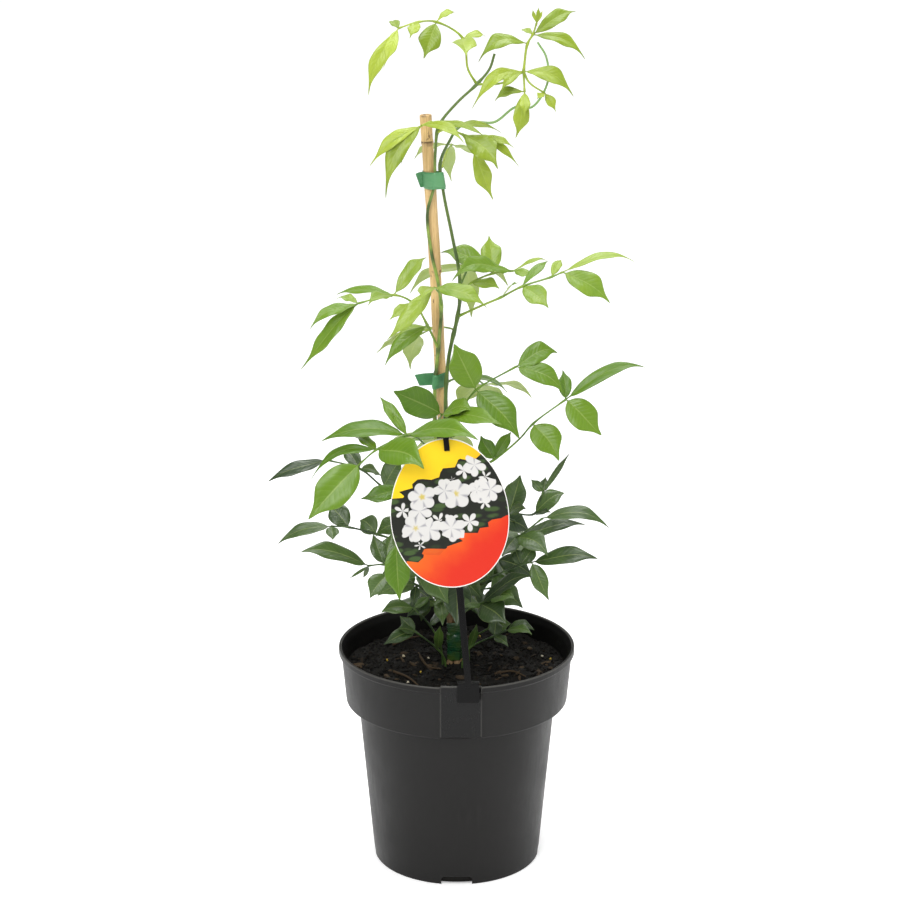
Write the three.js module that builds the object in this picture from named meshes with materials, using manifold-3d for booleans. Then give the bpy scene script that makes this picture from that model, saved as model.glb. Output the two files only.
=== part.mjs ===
// A wonga vine in a black nursery pot: the pot, its soil, a bamboo cane with three tape ties,
// the vine's stems, one solid for each compound leaf, and an oval plant label on a rim clip.
// Millimetres, +Z up, the pot standing on Z = 0 with its axis on Z. The front, with the label, is -Y.
import * as THREE from 'three';
import { ConvexGeometry } from 'three/addons/geometries/ConvexGeometry.js';
import { mergeVertices } from 'three/addons/utils/BufferGeometryUtils.js';
import Module from 'manifold-3d';

const wasm = await Module();
wasm.setup();

// Pot and soil.
const GAP = 0.35;             // clearance between touching pieces
const RIM = { radius: 100, height: 190, bead: 6 };
const COLLAR = { top: 97.8, foot: 94, height: 142.5 };
const BODY = { top: 83.8, foot: 71 };
const TURN_SEGMENTS = 36;
const WALL = 1.6;
const PANEL = { x: 3.5, width: 33, depth: 1.3 };
const NOTCH = { width: 26, height: 8, depth: 16, count: 4 };
const SOIL = { level: 170, mound: 3, relief: 1.1, rings: [110, 80, 56, 30, 0], segments: 24 };
const CHIPS = { count: 8, length: [5, 12], thickness: [2, 3.5], reach: 84, tilt: 0.25, lift: 0.4 };

// Cane, stems, ties.
const CANE = {
  radius: 5,
  sides: 10,
  path: [[7, 6, 45], [2.5, 6, 172], [0, 6, 212], [-12.4, 6, 410], [-18.7, 6, 540], [-24.8, 6, 640]],
};
const STEM_SIDES = 5;
const TAPE = { thickness: 0.8, corners: 10 };
const TIE_LOW = { bottom: 415, top: 427, tail: 15 };
const TIE_HIGH = { bottom: 580, top: 594, tail: 8 };
const TIE_BASE = { bottom: 177, top: 212, tail: 0 };

// Leaves.
const BLADE_THICKNESS = 0.75;
const BLADE_FOLD = 0.16;      // rise of the blade's edges, as a part of its half-width
const BLADE_SECTIONS = [[0.08, 0.1], [0.24, 0.78], [0.45, 1], [0.7, 0.68], [0.88, 0.22]];
const SMALL_BLADE = { width: 18.5, sections: [[0.08, 0.12], [0.3, 0.9], [0.58, 0.86], [0.84, 0.28]] };
const SLIM_BLADE = { width: 9.5, sections: [[0.1, 0.15], [0.42, 1], [0.76, 0.5]] };
const FOOT = { reach: 0.8, knuckle: 1.4 };  // leaflet's stalk: half-width, and the swelling past its node
const PETIOLE = { base: 1.1, end: 0.75, sides: 4 };

// Label and its holder.
const CARD = { width: 95, height: 122, thickness: 0.8, taper: 0.05, offset: -2.6, corners: 36 };
const STICK = { foot: [9.5, -97.7, 192], head: [-8.5, -74, 394], width: 5.5, thickness: 2, lap: 2 };
const CLIP = { width: 18, thickness: 1.6, drop: 14, rise: 3.5, tongue: 10, tongueWidth: 13 };
const HEAD = { width: 14, height: 2.4, tab: 13, tabWidth: 4.5, tabThickness: 1.2 };

const plastic = (color, roughness) => new THREE.MeshStandardMaterial({ color, roughness, metalness: 0 });
const POT_PLASTIC = plastic('#2b2b2b', 0.55);
const CLIP_PLASTIC = plastic('#141414', 0.35);
const POTTING_MIX = plastic('#241c16', 0.95);
const BAMBOO = plastic('#c6a377', 0.6);
const GREEN_TAPE = plastic('#1e7a4a', 0.4);
const BARK = plastic('#4f7d3a', 0.5);
const PRINTED_CARD = plastic('#f06a2c', 0.35);
const LEAF = {
  young: plastic('#9fbf3a', 0.45),
  fresh: plastic('#5f9130', 0.4),
  dark: plastic('#34553a', 0.35),
};

// Places on the plant are [x, depth, z]: where a point stands against the plane Y = 0 for an eye in
// front of the pot, and how far behind that plane it lies, or before it where the depth is negative.
const EYE = { distance: 1900, height: 924 };
function place([x, depth, z]) {
  const scale = 1 + depth / EYE.distance;
  return new THREE.Vector3(x * scale, depth, EYE.height + (z - EYE.height) * scale);
}

// Stems, from the buried foot to the tip. The right one ends in the twining shoot.
const STEM_RIGHT = {
  radius: [2.3, 0.8],
  points: [
    [0, -5, 125], [0.5, -5, 172], [1.5, -5, 212], [-2, -5, 300], [-9, -4, 396], [-6.5, -4, 440],
    [0.8, 0, 475], [2.7, 0, 490], [2, 0, 512], [-3, 0, 539], [-11, -1, 580], [-13, -1, 602],
    [-5, -1, 620], [0, 2, 628], [10, 6, 634], [30, 8, 634], [47, 8, 646], [60, 8, 646],
    [72, 8, 665], [71, 6, 685], [64, 4, 697],
  ],
};
const STEM_LEFT = {
  radius: [2.1, 1],
  points: [
    [-6, -5, 125], [-5.6, -5, 172], [-6, -5, 212], [-14, -7, 300], [-18, -3, 410], [-15, -2, 448],
    [-12.6, -2, 484], [-16, -2, 508], [-20, -2, 526], [-23.5, -2, 560], [-18, -2, 583],
    [-17, -3, 610], [-14, -3, 631], [0, -1, 649], [16, 0, 664], [26, 3, 676], [30, 6, 688],
  ],
};

// Compound leaves: tone, then each stalk with its points and its leaflets. The first point lies in what
// carries the leaf. A leaflet is [point of the stalk, tip x, tip depth, tip z, width, face, arch]: face
// is the lean of its upper side from straight up towards the front, in degrees, and arch is the height
// of its middle over the straight line from base to tip.
const FRONDS = {
  top_left: ['young', {
    stalk: [[16, 0, 664], [9, 0, 676], [5, 0, 700], [-16, -2, 713], [-30, -4, 713], [-46, -6, 708]],
    leaflets: [
      [2, 8, -34, 686, 20, 40, 3], [2, 23, 10, 701, 9, 35, 3], [3, -26, -18, 684, 18, 70, 2],
      [3, -1, 8, 720, 7, 30, 3], [4, -37, -22, 700, 10, 40, 2], [5, -70, -10, 655, 17, 60, 4],
      [5, -60, -26, 676, 13, 55, 3], [5, -52, 14, 712, 9, 30, 2],
    ],
  }],
  top_right: ['young', {
    stalk: [[16, 0, 664], [36, -4, 665], [53, -5, 674]],
    leaflets: [
      [2, 93, -14, 654, 14, 55, 8], [2, 12, -18, 644, 12, 50, 14], [2, 35, -24, 658, 8, 45, 3],
    ],
  }, {
    stalk: [[53, -5, 674], [56, -2, 696], [60, -2, 703], [63, -2, 712]],
    leaflets: [
      [1, 17, -12, 681, 14, 45, 10], [2, 94, 8, 721, 13, 60, 2], [2, 102, -8, 683, 11, 50, 6],
      [2, 52, 14, 706, 7, 30, 2], [3, 60, -2, 723, 3, 60, 0], [3, 64, -2, 725, 3, 60, 0],
      [3, 68, -2, 722, 3, 60, 0],
    ],
  }, {
    stalk: [[53, -5, 674], [58, -8, 665], [70, -10, 657]],
    leaflets: [[2, 79, -14, 642, 8, 60, 2], [2, 64, -20, 652, 6, 50, 1]],
  }, {
    stalk: [[53, -5, 674], [54, -10, 658]],
    leaflets: [[1, 47, -14, 621, 13, 65, 2], [1, 54, -24, 638, 9, 60, 2], [1, 30, -18, 650, 9, 45, 4]],
  }],
  crown_left: ['young', {
    stalk: [[-14, -3, 631], [-21, -12, 634], [-28, -16, 631]],
    leaflets: [
      [2, -70, -26, 598, 12, 42, 9], [2, -57, -36, 572, 15, 62, 12], [2, -44, -12, 600, 7, 50, 6],
      [2, 6, -42, 617, 11, 42, 7], [1, 24, -38, 621, 7, 35, 4],
    ],
  }],
  crown_right: ['young', {
    stalk: [[-15, -3, 626], [-6, -12, 629], [5, -18, 624], [18, -20, 622]],
    leaflets: [
      [2, 33, -36, 596, 21, 62, 4], [3, 46, -26, 613, 7, 45, 2], [3, 50, -22, 598, 7, 45, 5],
      [1, 36, 2, 625, 9, 30, 4],
    ],
  }, {
    stalk: [[5, -18, 624], [13, -15, 611]],
    leaflets: [[1, 29.5, -14, 571, 14, 64, 4]],
  }],
  mid_left: ['fresh', {
    stalk: [[-15, -2, 448], [-24, -8, 468], [-35, -10, 486], [-51, -12, 493], [-80, -14, 486]],
    leaflets: [
      [4, -128, -18, 430, 14, 40, 6], [4, -120, -26, 464, 11, 35, 4], [4, -98, 0, 489, 10, 20, 3],
      [3, -98, 10, 493, 12, 20, 4], [3, -24, 2, 524, 13, 40, 4], [3, -72, -34, 484, 12, 30, 3],
      [1, -59, -16, 433, 12, 50, 3], [2, -55, -36, 472, 10, 35, 2],
    ],
  }],
  mid_front: ['fresh', {
    stalk: [[-12.6, -2, 484], [-14, -14, 494], [-18, -26, 499]],
    leaflets: [[2, -57, -40, 455, 14, 50, 3], [2, 25, -38, 482, 17, 40, 4], [2, -28, -62, 488, 13, 30, 3]],
  }],
  mid_right: ['fresh', {
    stalk: [[0.8, 0, 475], [20, -6, 484], [36, -10, 491], [53, -12, 500], [77, -12, 508], [86, -12, 512]],
    leaflets: [
      [5, 125, -22, 486, 20, 55, 3], [5, 146, -4, 519, 9, 30, 7], [4, 85, 4, 522, 8, 45, 2],
      [3, 75, -28, 482, 18, 50, 2], [2, 51, -30, 503, 9, 30, 2], [3, 74, 10, 521, 8, 30, 3],
    ],
  }],
  mid_back: ['fresh', {
    stalk: [[2.7, 0, 492], [12, 8, 503], [30, 10, 511], [46, 8, 513]],
    leaflets: [
      [3, -4, -16, 504, 17, 42, 8], [2, -13, 16, 528, 18, 50, 3], [2, 26, 28, 542, 17, 65, 0],
      [3, 74, 14, 521, 5, 20, 4], [3, 62, 0, 508, 9, 40, 1], [1, 35, -8, 498, 12, 40, 1],
    ],
  }],
  right_upper: ['fresh', {
    stalk: [[-8.5, -4, 388], [5, -14, 399], [16, -18, 413], [49, -22, 433]],
    leaflets: [
      [2, -2, -16, 452, 26, 70, 0], [2, 52, -34, 371, 25, 62, 3], [3, 83, -14, 444, 17, 60, 5],
      [3, 89, -30, 409, 17, 62, 5],
    ],
  }],
  right_lower: ['fresh', {
    stalk: [[-5, -4, 338], [12, -10, 343], [31, -16, 353], [52, -14, 371], [63, -14, 384], [90, -18, 405]],
    leaflets: [
      [5, 120, -30, 374, 24, 60, 2], [5, 155, -14, 432, 12, 45, 8], [5, 87, -6, 430, 11, 60, 0],
      [4, 85, -30, 352, 24, 60, 3], [2, 20, -8, 374, 14, 60, 0], [2, 45, -4, 377, 10, 60, 2],
    ],
  }],
  left_upper: ['fresh', {
    stalk: [[-16, -5, 352], [-26, -30, 366], [-41, -58, 374], [-66, -66, 362], [-80, -66, 350]],
    leaflets: [
      [2, 18, -99, 370, 20, 38, 8], [2, -112, -54, 369, 20, 25, 8], [2, -63, -40, 407, 10, 50, 2],
      [2, -53, -50, 394, 5, 50, 0], [3, -27, -104, 345, 26, 60, 4], [3, -122, -58, 334, 10, 35, 11],
      [3, -84, -48, 372, 10, 20, 1], [4, -124, -84, 301, 29, 62, 3],
    ],
  }],
  left_far: ['dark', {
    stalk: [[-11, -6, 300], [-40, -20, 318], [-61, -28, 329], [-80, -32, 345], [-108, -34, 353]],
    leaflets: [
      [4, -157, -38, 334, 13, 35, 3], [3, -94, -14, 362, 13, 45, 2], [2, -46, -34, 353, 18, 55, 2],
      [3, -62, -16, 338, 10, 40, 3],
    ],
  }],
  left_behind_card: ['fresh', {
    stalk: [[-12, -6, 312], [-30, -30, 322], [-45, -40, 328]],
    leaflets: [[2, -80, -48, 319, 15, 50, 0], [2, -40, -58, 300, 16, 55, 2], [1, -22, -44, 340, 16, 55, 2]],
  }],
  centre_upper: ['fresh', {
    stalk: [[-17, -4, 384], [-12, -22, 392]],
    leaflets: [[1, -52, -34, 412, 25, 60, 2], [1, 14, -34, 394, 20, 32, 5], [1, 38, -50, 383, 18, 38, 4]],
  }],
  low_left_upper: ['dark', {
    stalk: [[-9, -6, 258], [-40, -14, 278], [-67, -18, 288], [-90, -20, 294], [-105, -20, 295]],
    leaflets: [
      [4, -150, -24, 279, 13, 35, 4], [3, -106, -6, 313, 18, 60, 2], [4, -104, -34, 283, 11, 45, 0],
      [2, -81, -6, 300, 17, 60, 2],
    ],
  }],
  low_left_mid: ['dark', {
    stalk: [[-7, -5, 236], [-40, -24, 254], [-61, -30, 261], [-74, -32, 260]],
    leaflets: [
      [2, -70, -20, 288, 13, 60, 0], [2, -54, -18, 289, 14, 62, 0], [3, -131, -46, 272, 18, 32, 4],
      [3, -91, -38, 248, 3, 40, 0], [3, -79, -44, 249, 4, 40, 0], [2, -50, -48, 258, 7, 40, 1],
    ],
  }],
  low_left_low: ['dark', {
    stalk: [[-6, -5, 222], [-34, -34, 243], [-58, -42, 253]],
    leaflets: [[2, -73, -50, 231, 18, 62, 1], [1, -67, -62, 233, 14, 55, 2], [1, -37, -46, 225, 8, 55, 0]],
  }],
  low_left_front: ['fresh', {
    stalk: [[-10, -6, 270], [-30, -36, 284], [-51, -64, 280]],
    leaflets: [[2, -48, -76, 229, 21, 70, 1]],
  }],
  low_right_upper: ['dark', {
    stalk: [[0, -5, 262], [28, -14, 276], [50, -20, 285], [72, -24, 302]],
    leaflets: [
      [3, 128, -30, 293, 15, 32, 9], [2, 108, -12, 296, 14, 35, 4], [2, 77, -40, 268, 19, 50, 5],
      [2, 38, -44, 268, 16, 55, 2],
    ],
  }],
  low_right_light: ['dark', {
    stalk: [[-1, -5, 284], [30, 2, 298], [44, 4, 306], [65, 6, 306], [72, 6, 325]],
    leaflets: [
      [3, 90, 4, 324, 15, 60, 4], [4, 94, 8, 359, 5, 65, 0], [4, 62, 10, 336, 8, 70, 0],
      [4, 74, 12, 338, 8, 70, 0], [2, 53, 8, 340, 19, 75, 0], [2, 58, -12, 310, 10, 60, 3],
      [3, 79, -8, 307, 7, 40, 1],
    ],
  }],
  low_right_mid: ['dark', {
    stalk: [[0, -5, 236], [34, -22, 252], [54, -30, 261], [63, -32, 263]],
    leaflets: [
      [3, 119, -42, 266, 18, 34, 5], [3, 78, -44, 229, 14, 60, 2], [2, 66, -22, 279, 13, 55, 0],
      [2, 48, -24, 276, 10, 50, 0],
    ],
  }],
  low_right_low: ['dark', {
    stalk: [[1, -5, 216], [20, -30, 226], [28, -34, 230]],
    leaflets: [
      [1, 64, -50, 250, 14, 40, 4], [2, 49, -50, 230, 16, 45, 4], [1, 42, -54, 208, 24, 60, 2],
      [1, 5, -50, 222, 13, 45, 2],
    ],
  }],
  base_left_high: ['dark', {
    stalk: [[-11.5, -6, 155], [-12, -6, 176], [-14, -7, 190], [-23, -11, 207], [-36, -18, 222]],
    leaflets: [[4, -64, -26, 218, 14, 40, 2], [4, -22, -12, 233, 7, 50, 0], [3, -10, -24, 217, 9, 50, 1]],
  }],
  base_left_low: ['dark', {
    stalk: [[-9.5, -13, 155], [-10, -13.5, 175], [-16, -17, 185], [-35, -26, 201]],
    leaflets: [
      [3, -48, -28, 215, 11, 50, 0], [3, -50, -38, 203, 10, 45, 1], [3, -62, -46, 189, 12, 45, 3],
      [2, -14, -38, 206, 8, 50, 0],
    ],
  }],
  base_right_low: ['dark', {
    stalk: [[5, -13, 155], [5.5, -13.5, 175], [11, -15, 186], [32, -22, 197], [42, -24, 202]],
    leaflets: [
      [4, 66, -28, 202, 12, 40, 3], [4, 64, -40, 198, 9, 40, 2], [3, 44, -42, 187, 9, 45, 2],
      [3, 34, -14, 212, 12, 55, 0], [2, 17, -20, 208, 7, 60, 0],
    ],
  }],
  base_right_high: ['dark', {
    stalk: [[10.5, -4, 155], [10.5, -4, 176], [12, -5, 193], [29, -10, 205]],
    leaflets: [[3, 46, -14, 208, 13, 50, 1], [3, 32, -2, 222, 9, 40, 0]],
  }],
  back_crown: ['young', {
    stalk: [[-12, -1, 598], [-8, 14, 610], [-4, 34, 616]],
    leaflets: [[2, -34, 56, 604, 12, -30, 4], [2, 24, 58, 600, 12, -35, 4], [2, -4, 76, 586, 11, -60, 4]],
  }],
  back_mid: ['fresh', {
    stalk: [[2.5, 0, 500], [8, 20, 513], [8, 42, 519]],
    leaflets: [
      [2, -38, 64, 494, 17, -35, 6], [2, 42, 60, 500, 17, -30, 6], [2, 12, 88, 474, 16, -62, 5],
      [1, 32, 34, 510, 13, 0, 3],
    ],
  }],
  back_mid_left: ['fresh', {
    stalk: [[-2, -1, 460], [-2, 16, 464], [-16, 38, 466], [-30, 56, 460]],
    leaflets: [[3, -66, 68, 444, 16, -25, 5], [3, -38, 92, 430, 16, -60, 4], [2, -52, 30, 456, 14, 10, 3]],
  }],
  back_upper: ['fresh', {
    stalk: [[-7.5, -3, 420], [2, 14, 424], [12, 38, 426], [22, 58, 418]],
    leaflets: [
      [3, 0, 84, 396, 21, -40, 5], [3, 62, 72, 406, 21, -25, 5], [3, 34, 106, 384, 19, -60, 5],
      [2, 42, 34, 410, 17, 0, 3],
    ],
  }],
  back_card: ['fresh', {
    stalk: [[-6, -4, 350], [2, 10, 358], [-5, 36, 372], [-18, 60, 374]],
    leaflets: [
      [3, -58, 80, 358, 21, -30, 6], [3, 18, 86, 354, 21, -35, 5], [3, -28, 112, 336, 20, -62, 5],
      [2, -44, 36, 366, 17, 5, 3],
    ],
  }],
  back_low_right: ['dark', {
    stalk: [[-1, -5, 300], [8, 14, 307], [24, 34, 304], [38, 50, 293]],
    leaflets: [
      [3, 76, 60, 272, 18, -20, 5], [3, 20, 82, 272, 18, -40, 5], [3, 54, 94, 256, 18, -62, 5],
      [2, 50, 16, 298, 15, 5, 3],
    ],
  }],
  back_low_left: ['dark', {
    stalk: [[0, -5, 250], [6, 10, 260], [-6, 38, 272], [-20, 58, 275]],
    leaflets: [
      [3, -56, 72, 264, 17, -28, 5], [3, 8, 84, 260, 17, -35, 5], [3, -26, 104, 242, 16, -62, 4],
      [2, -46, 34, 270, 14, 5, 3],
    ],
  }],
  low_centre_left: ['dark', {
    stalk: [[-6.5, -6, 240], [-16, -22, 256], [-27, -32, 264]],
    leaflets: [[2, -46, -52, 244, 15, 50, 3], [2, -7, -44, 226, 24, 66, 2], [1, -2, -38, 246, 15, 58, 1]],
  }],
  low_back_left: ['dark', {
    stalk: [[-6.5, -5, 217], [-16, 4, 224], [-30, 28, 226]],
    leaflets: [[2, -58, 42, 218, 14, 15, 4], [2, -30, 56, 210, 15, -20, 4], [1, -40, 10, 234, 12, 45, 2]],
  }],
  low_back_right: ['dark', {
    stalk: [[1.2, -5, 230], [14, 16, 244], [22, 34, 250]],
    leaflets: [[2, 50, 48, 246, 15, -10, 4], [2, 22, 66, 232, 15, -40, 4], [1, 36, 12, 250, 13, 45, 2]],
  }],
  behind_card_right: ['dark', {
    stalk: [[-1, -5, 270], [10, -26, 284], [22, -40, 290]],
    leaflets: [[2, 40, -56, 284, 18, 50, 3], [2, 6, -58, 300, 18, 55, 3], [2, 38, -46, 316, 17, 60, 2]],
  }],
};

const join = (shapes) => shapes.reduce((all, shape) => all.add(shape));

// The largest body of a solid, without the slivers that a cut can leave.
const largest = (shape) => shape.decompose().reduce((a, b) => (b.volume() > a.volume() ? b : a));

// A closed three.js geometry as a solid for cuts and joins, its faces turned outwards.
function solid(geometry) {
  const bare = geometry.clone();
  bare.deleteAttribute('normal');
  bare.deleteAttribute('uv');
  const merged = mergeVertices(bare, 1e-4);
  const faces = [];
  for (let i = 0; i < merged.index.count; i += 3) {
    const [a, b, c] = merged.index.array.slice(i, i + 3);
    if (a !== b && b !== c && c !== a) faces.push(a, b, c);
  }
  const build = () => new wasm.Manifold(new wasm.Mesh({
    numProp: 3,
    vertProperties: merged.attributes.position.array,
    triVerts: new Uint32Array(faces),
  }));
  const made = build();
  if (made.volume() > 0) return made;
  for (let i = 0; i < faces.length; i += 3) {
    [faces[i + 1], faces[i + 2]] = [faces[i + 2], faces[i + 1]];
  }
  return build();
}

function piece(name, shape, material) {
  const { vertProperties, triVerts } = shape.getMesh();
  const geometry = new THREE.BufferGeometry()
    .setAttribute('position', new THREE.BufferAttribute(new Float32Array(vertProperties), 3))
    .setIndex(new THREE.BufferAttribute(triVerts, 1));
  const mesh = new THREE.Mesh(geometry, material.clone());
  mesh.name = name;
  return mesh;
}

function meshSolid(vertices, faces) {
  const geometry = new THREE.BufferGeometry().setFromPoints(vertices);
  geometry.setIndex(faces);
  return solid(geometry);
}

// A solid of revolution about Z, from [radius, height] pairs that start and end on the axis.
function turned(profile) {
  const points = profile.map(([r, z]) => new THREE.Vector2(r, z));
  return solid(new THREE.LatheGeometry(points, TURN_SEGMENTS).rotateX(Math.PI / 2));
}

function box(width, depth, height, x, y, z) {
  return solid(new THREE.BoxGeometry(width, depth, height).translate(x, y, z));
}

// A closed round rod along a smooth curve through the points, with a radius at its start and its end.
function rod(points, [first, last], sides, stepsPerSpan = 2) {
  const curve = new THREE.CatmullRomCurve3(points);
  const steps = stepsPerSpan * (points.length - 1);
  const vertices = [];
  const faces = [];
  const across = new THREE.Vector3(0.3, 1, 0.1);  // any direction that no path runs along
  for (let i = 0; i <= steps; i++) {
    const centre = curve.getPoint(i / steps);
    const along = curve.getTangent(i / steps);
    across.addScaledVector(along, -across.dot(along)).normalize();
    const third = new THREE.Vector3().crossVectors(along, across);
    const radius = first + (last - first) * (i / steps);
    for (let j = 0; j < sides; j++) {
      const turn = (j / sides) * 2 * Math.PI;
      vertices.push(centre.clone()
        .addScaledVector(across, radius * Math.cos(turn))
        .addScaledVector(third, radius * Math.sin(turn)));
      const next = (j + 1) % sides;
      const ring = i * sides;
      if (i === steps) continue;
      faces.push(ring + j, ring + next, ring + sides + next, ring + j, ring + sides + next, ring + sides + j);
    }
  }
  const end = steps * sides;
  for (let j = 1; j < sides - 1; j++) faces.push(0, j + 1, j, end, end + j, end + j + 1);
  return meshSolid(vertices, faces);
}

// The pressed panel leans outwards with the collar: how far its face is from the pot's axis.
const PANEL_LEAN = Math.atan((COLLAR.top - COLLAR.foot) / (RIM.height - COLLAR.height));
const panelFace = (height) => COLLAR.foot - PANEL.depth + (height - COLLAR.height) * Math.tan(PANEL_LEAN);

// The pot's form drawn in by an inset, from its floor to its top, with the flat panel pressed into it.
function potForm(inset, floor, top) {
  const shoulder = COLLAR.height + inset * 0.9;
  const profile = [
    [0, floor], [BODY.foot - inset, floor], [BODY.top - inset, shoulder],
    [COLLAR.foot - inset, shoulder], [COLLAR.top - inset, RIM.height - RIM.bead],
    [RIM.radius - inset, RIM.height - RIM.bead + 1], [RIM.radius - inset, top], [0, top],
  ];
  const reach = RIM.radius;
  const press = new THREE.BoxGeometry(PANEL.width + inset * 2, reach, reach)
    .translate(0, -reach / 2, 0).rotateX(PANEL_LEAN)
    .translate(PANEL.x, inset - panelFace(COLLAR.height), COLLAR.height);
  const belowCollar = box(reach * 2, reach * 4, reach, 0, 0, COLLAR.height - reach / 2);
  return turned(profile).subtract(solid(press).subtract(belowCollar));
}

// Pot: the outer form less the inner one, with drainage notches round its foot.
function makePot() {
  const notches = Array.from({ length: NOTCH.count }, (_, i) => solid(
    new THREE.BoxGeometry(NOTCH.width, NOTCH.depth, NOTCH.height * 2)
      .translate(0, -BODY.foot, 0).rotateZ((i / NOTCH.count) * 2 * Math.PI),
  ));
  const inside = potForm(WALL, WALL, RIM.height + WALL);
  return potForm(0, 0, RIM.height).subtract(inside).subtract(join(notches));
}

// Soil: it fills the pot to a slightly mounded, crumbly surface, with bark chips lying in it.
const soilHeight = (x, y) => SOIL.level + SOIL.mound * (1 - (x * x + y * y) / (RIM.radius * RIM.radius))
  + SOIL.relief * (Math.sin(x * 0.21 + 1) * Math.cos(y * 0.17) + Math.sin(x * 0.09 - y * 0.13));

function makeSoil(buried) {
  const rings = SOIL.rings.map((radius) => new THREE.Vector2(radius, SOIL.level));
  const under = [new THREE.Vector2(0, -WALL), new THREE.Vector2(SOIL.rings[0], -WALL)];
  const ground = new THREE.LatheGeometry([...under, ...rings], SOIL.segments).rotateX(Math.PI / 2);
  const position = ground.attributes.position;
  for (let i = 0; i < position.count; i++) {
    if (position.getZ(i) > 0) position.setZ(i, soilHeight(position.getX(i), position.getY(i)));
  }
  const fill = potForm(WALL + GAP, WALL + GAP, RIM.height).intersect(solid(ground));
  let seed = 7;  // a repeatable generator, so that the chips always lie alike
  const random = () => {
    seed = (seed * 16807) % 2147483647;
    return seed / 2147483647;
  };
  const between = ([low, high]) => low + (high - low) * random();
  const chips = Array.from({ length: CHIPS.count }, () => {
    const radius = CHIPS.reach * Math.sqrt(between([0.08, 1]));
    const angle = between([0, 2 * Math.PI]);
    const [x, y] = [radius * Math.cos(angle), radius * Math.sin(angle)];
    const length = between(CHIPS.length);
    const chip = new THREE.BoxGeometry(length, between(CHIPS.length) / 2, between(CHIPS.thickness));
    chip.rotateX(between([-CHIPS.tilt, CHIPS.tilt])).rotateY(between([-CHIPS.tilt, CHIPS.tilt]));
    chip.rotateZ(between([0, Math.PI]));
    return solid(chip.translate(x, y, soilHeight(x, y) + CHIPS.lift));
  });
  return largest(join([fill, ...chips]).subtract(join(buried)));
}

// A path's real points, its foot let down by some clearance.
function deeper(path, extra) {
  const points = path.map(place);
  points[0].z -= extra;
  return points;
}

// Stems and cane, or the same shapes with clearance round them.
const makeStem = ({ radius: [first, last], points }, extra = 0) => rod(
  deeper(points, extra), [first + extra, last + extra], STEM_SIDES);

const makeCane = (extra = 0) => rod(
  deeper(CANE.path, extra), [CANE.radius + extra, CANE.radius + extra], CANE.sides, 1);

// The point of a path at a height, between the two points next to it.
function pathAt(path, height) {
  const points = path.map(place);
  const curve = new THREE.CatmullRomCurve3(points);
  for (let t = 0; t <= 1; t += 0.001) {
    const point = curve.getPoint(t);
    if (point.z >= height) return point;
  }
  return points.at(-1);
}

// A tape band drawn tight round the members, each a path with a radius, between two heights. A tail
// stands out to the left of the first member.
function band(members, { bottom, top, tail }) {
  const hull = (extra, low, high) => {
    const points = [];
    for (const z of [low, high]) {
      for (const [path, radius] of members) {
        const centre = pathAt(path, z);
        const reach = radius + GAP + extra;
        for (let i = 0; i < TAPE.corners; i++) {
          const turn = (i / TAPE.corners) * 2 * Math.PI;
          const [x, y] = [centre.x + reach * Math.cos(turn), centre.y + reach * Math.sin(turn)];
          points.push(new THREE.Vector3(x, y, z));
        }
      }
    }
    return solid(new ConvexGeometry(points));
  };
  const ring = hull(TAPE.thickness, bottom, top).subtract(hull(0, bottom - 2, top + 2));
  if (!tail) return ring;
  const [path, radius] = members[0];
  const middle = (bottom + top) / 2;
  const centre = pathAt(path, middle);
  const wall = centre.x - radius - GAP - TAPE.thickness / 2;
  return ring.add(box(tail, TAPE.thickness, top - bottom - 1, wall - tail / 2, centre.y, middle));
}

// Leaflet: a thin arched blade, folded a little along its midrib.
function leaflet(base, [tipX, tipDepth, tipZ, width, face, arch]) {
  const tip = place([tipX, tipDepth, tipZ]);
  const along = tip.clone().sub(base);
  const direction = along.clone().normalize();
  const lean = THREE.MathUtils.degToRad(face);
  const up = new THREE.Vector3(0, -Math.sin(lean), Math.cos(lean));
  up.addScaledVector(direction, -up.dot(direction)).normalize();
  const side = new THREE.Vector3().crossVectors(direction, up);
  const vertices = [base.clone()];
  const faces = [];
  const half = BLADE_THICKNESS / 2;
  let sections = BLADE_SECTIONS;
  if (width < SMALL_BLADE.width) ({ sections } = SMALL_BLADE);
  if (width < SLIM_BLADE.width) ({ sections } = SLIM_BLADE);
  for (const [u, part] of sections) {
    const middle = base.clone().addScaledVector(along, u);
    middle.z += arch * 4 * u * (1 - u);
    const reach = Math.max((part * width) / 2, FOOT.reach);
    const ring = [[-1, half], [0, half], [1, half], [1, -half], [0, -half], [-1, -half]];
    for (const [across, lift] of ring) {
      vertices.push(middle.clone()
        .addScaledVector(side, across * reach)
        .addScaledVector(up, lift + Math.abs(across) * reach * BLADE_FOLD));
    }
  }
  vertices.push(tip);
  const last = sections.length - 1;
  for (let j = 0; j < 6; j++) {
    const next = (j + 1) % 6;
    faces.push(0, 1 + j, 1 + next);
    faces.push(vertices.length - 1, 1 + last * 6 + next, 1 + last * 6 + j);
    for (let i = 0; i < last; i++) {
      const [a, b, c, d] = [1 + i * 6 + j, 1 + i * 6 + next, 7 + i * 6 + next, 7 + i * 6 + j];
      if (j < 3) faces.push(a, d, c, a, c, b);
      else faces.push(a, d, b, d, c, b);
    }
  }
  return meshSolid(vertices, faces);
}

function makeFrond(branches) {
  const shapes = [];
  for (const { stalk, leaflets } of branches) {
    const points = stalk.map(place);
    const end = points.at(-1).clone().sub(points.at(-2)).setLength(FOOT.knuckle).add(points.at(-1));
    shapes.push(rod([...points, end], [PETIOLE.base, PETIOLE.end], PETIOLE.sides, 1));
    for (const [at, ...blade] of leaflets) shapes.push(leaflet(points[at], blade));
  }
  return join(shapes);
}

// Label holder: a clip over the rim, a flat stick and a T head whose tab comes down before the card.
const stickFoot = new THREE.Vector3(...STICK.foot);
const stickHead = new THREE.Vector3(...STICK.head);

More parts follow.
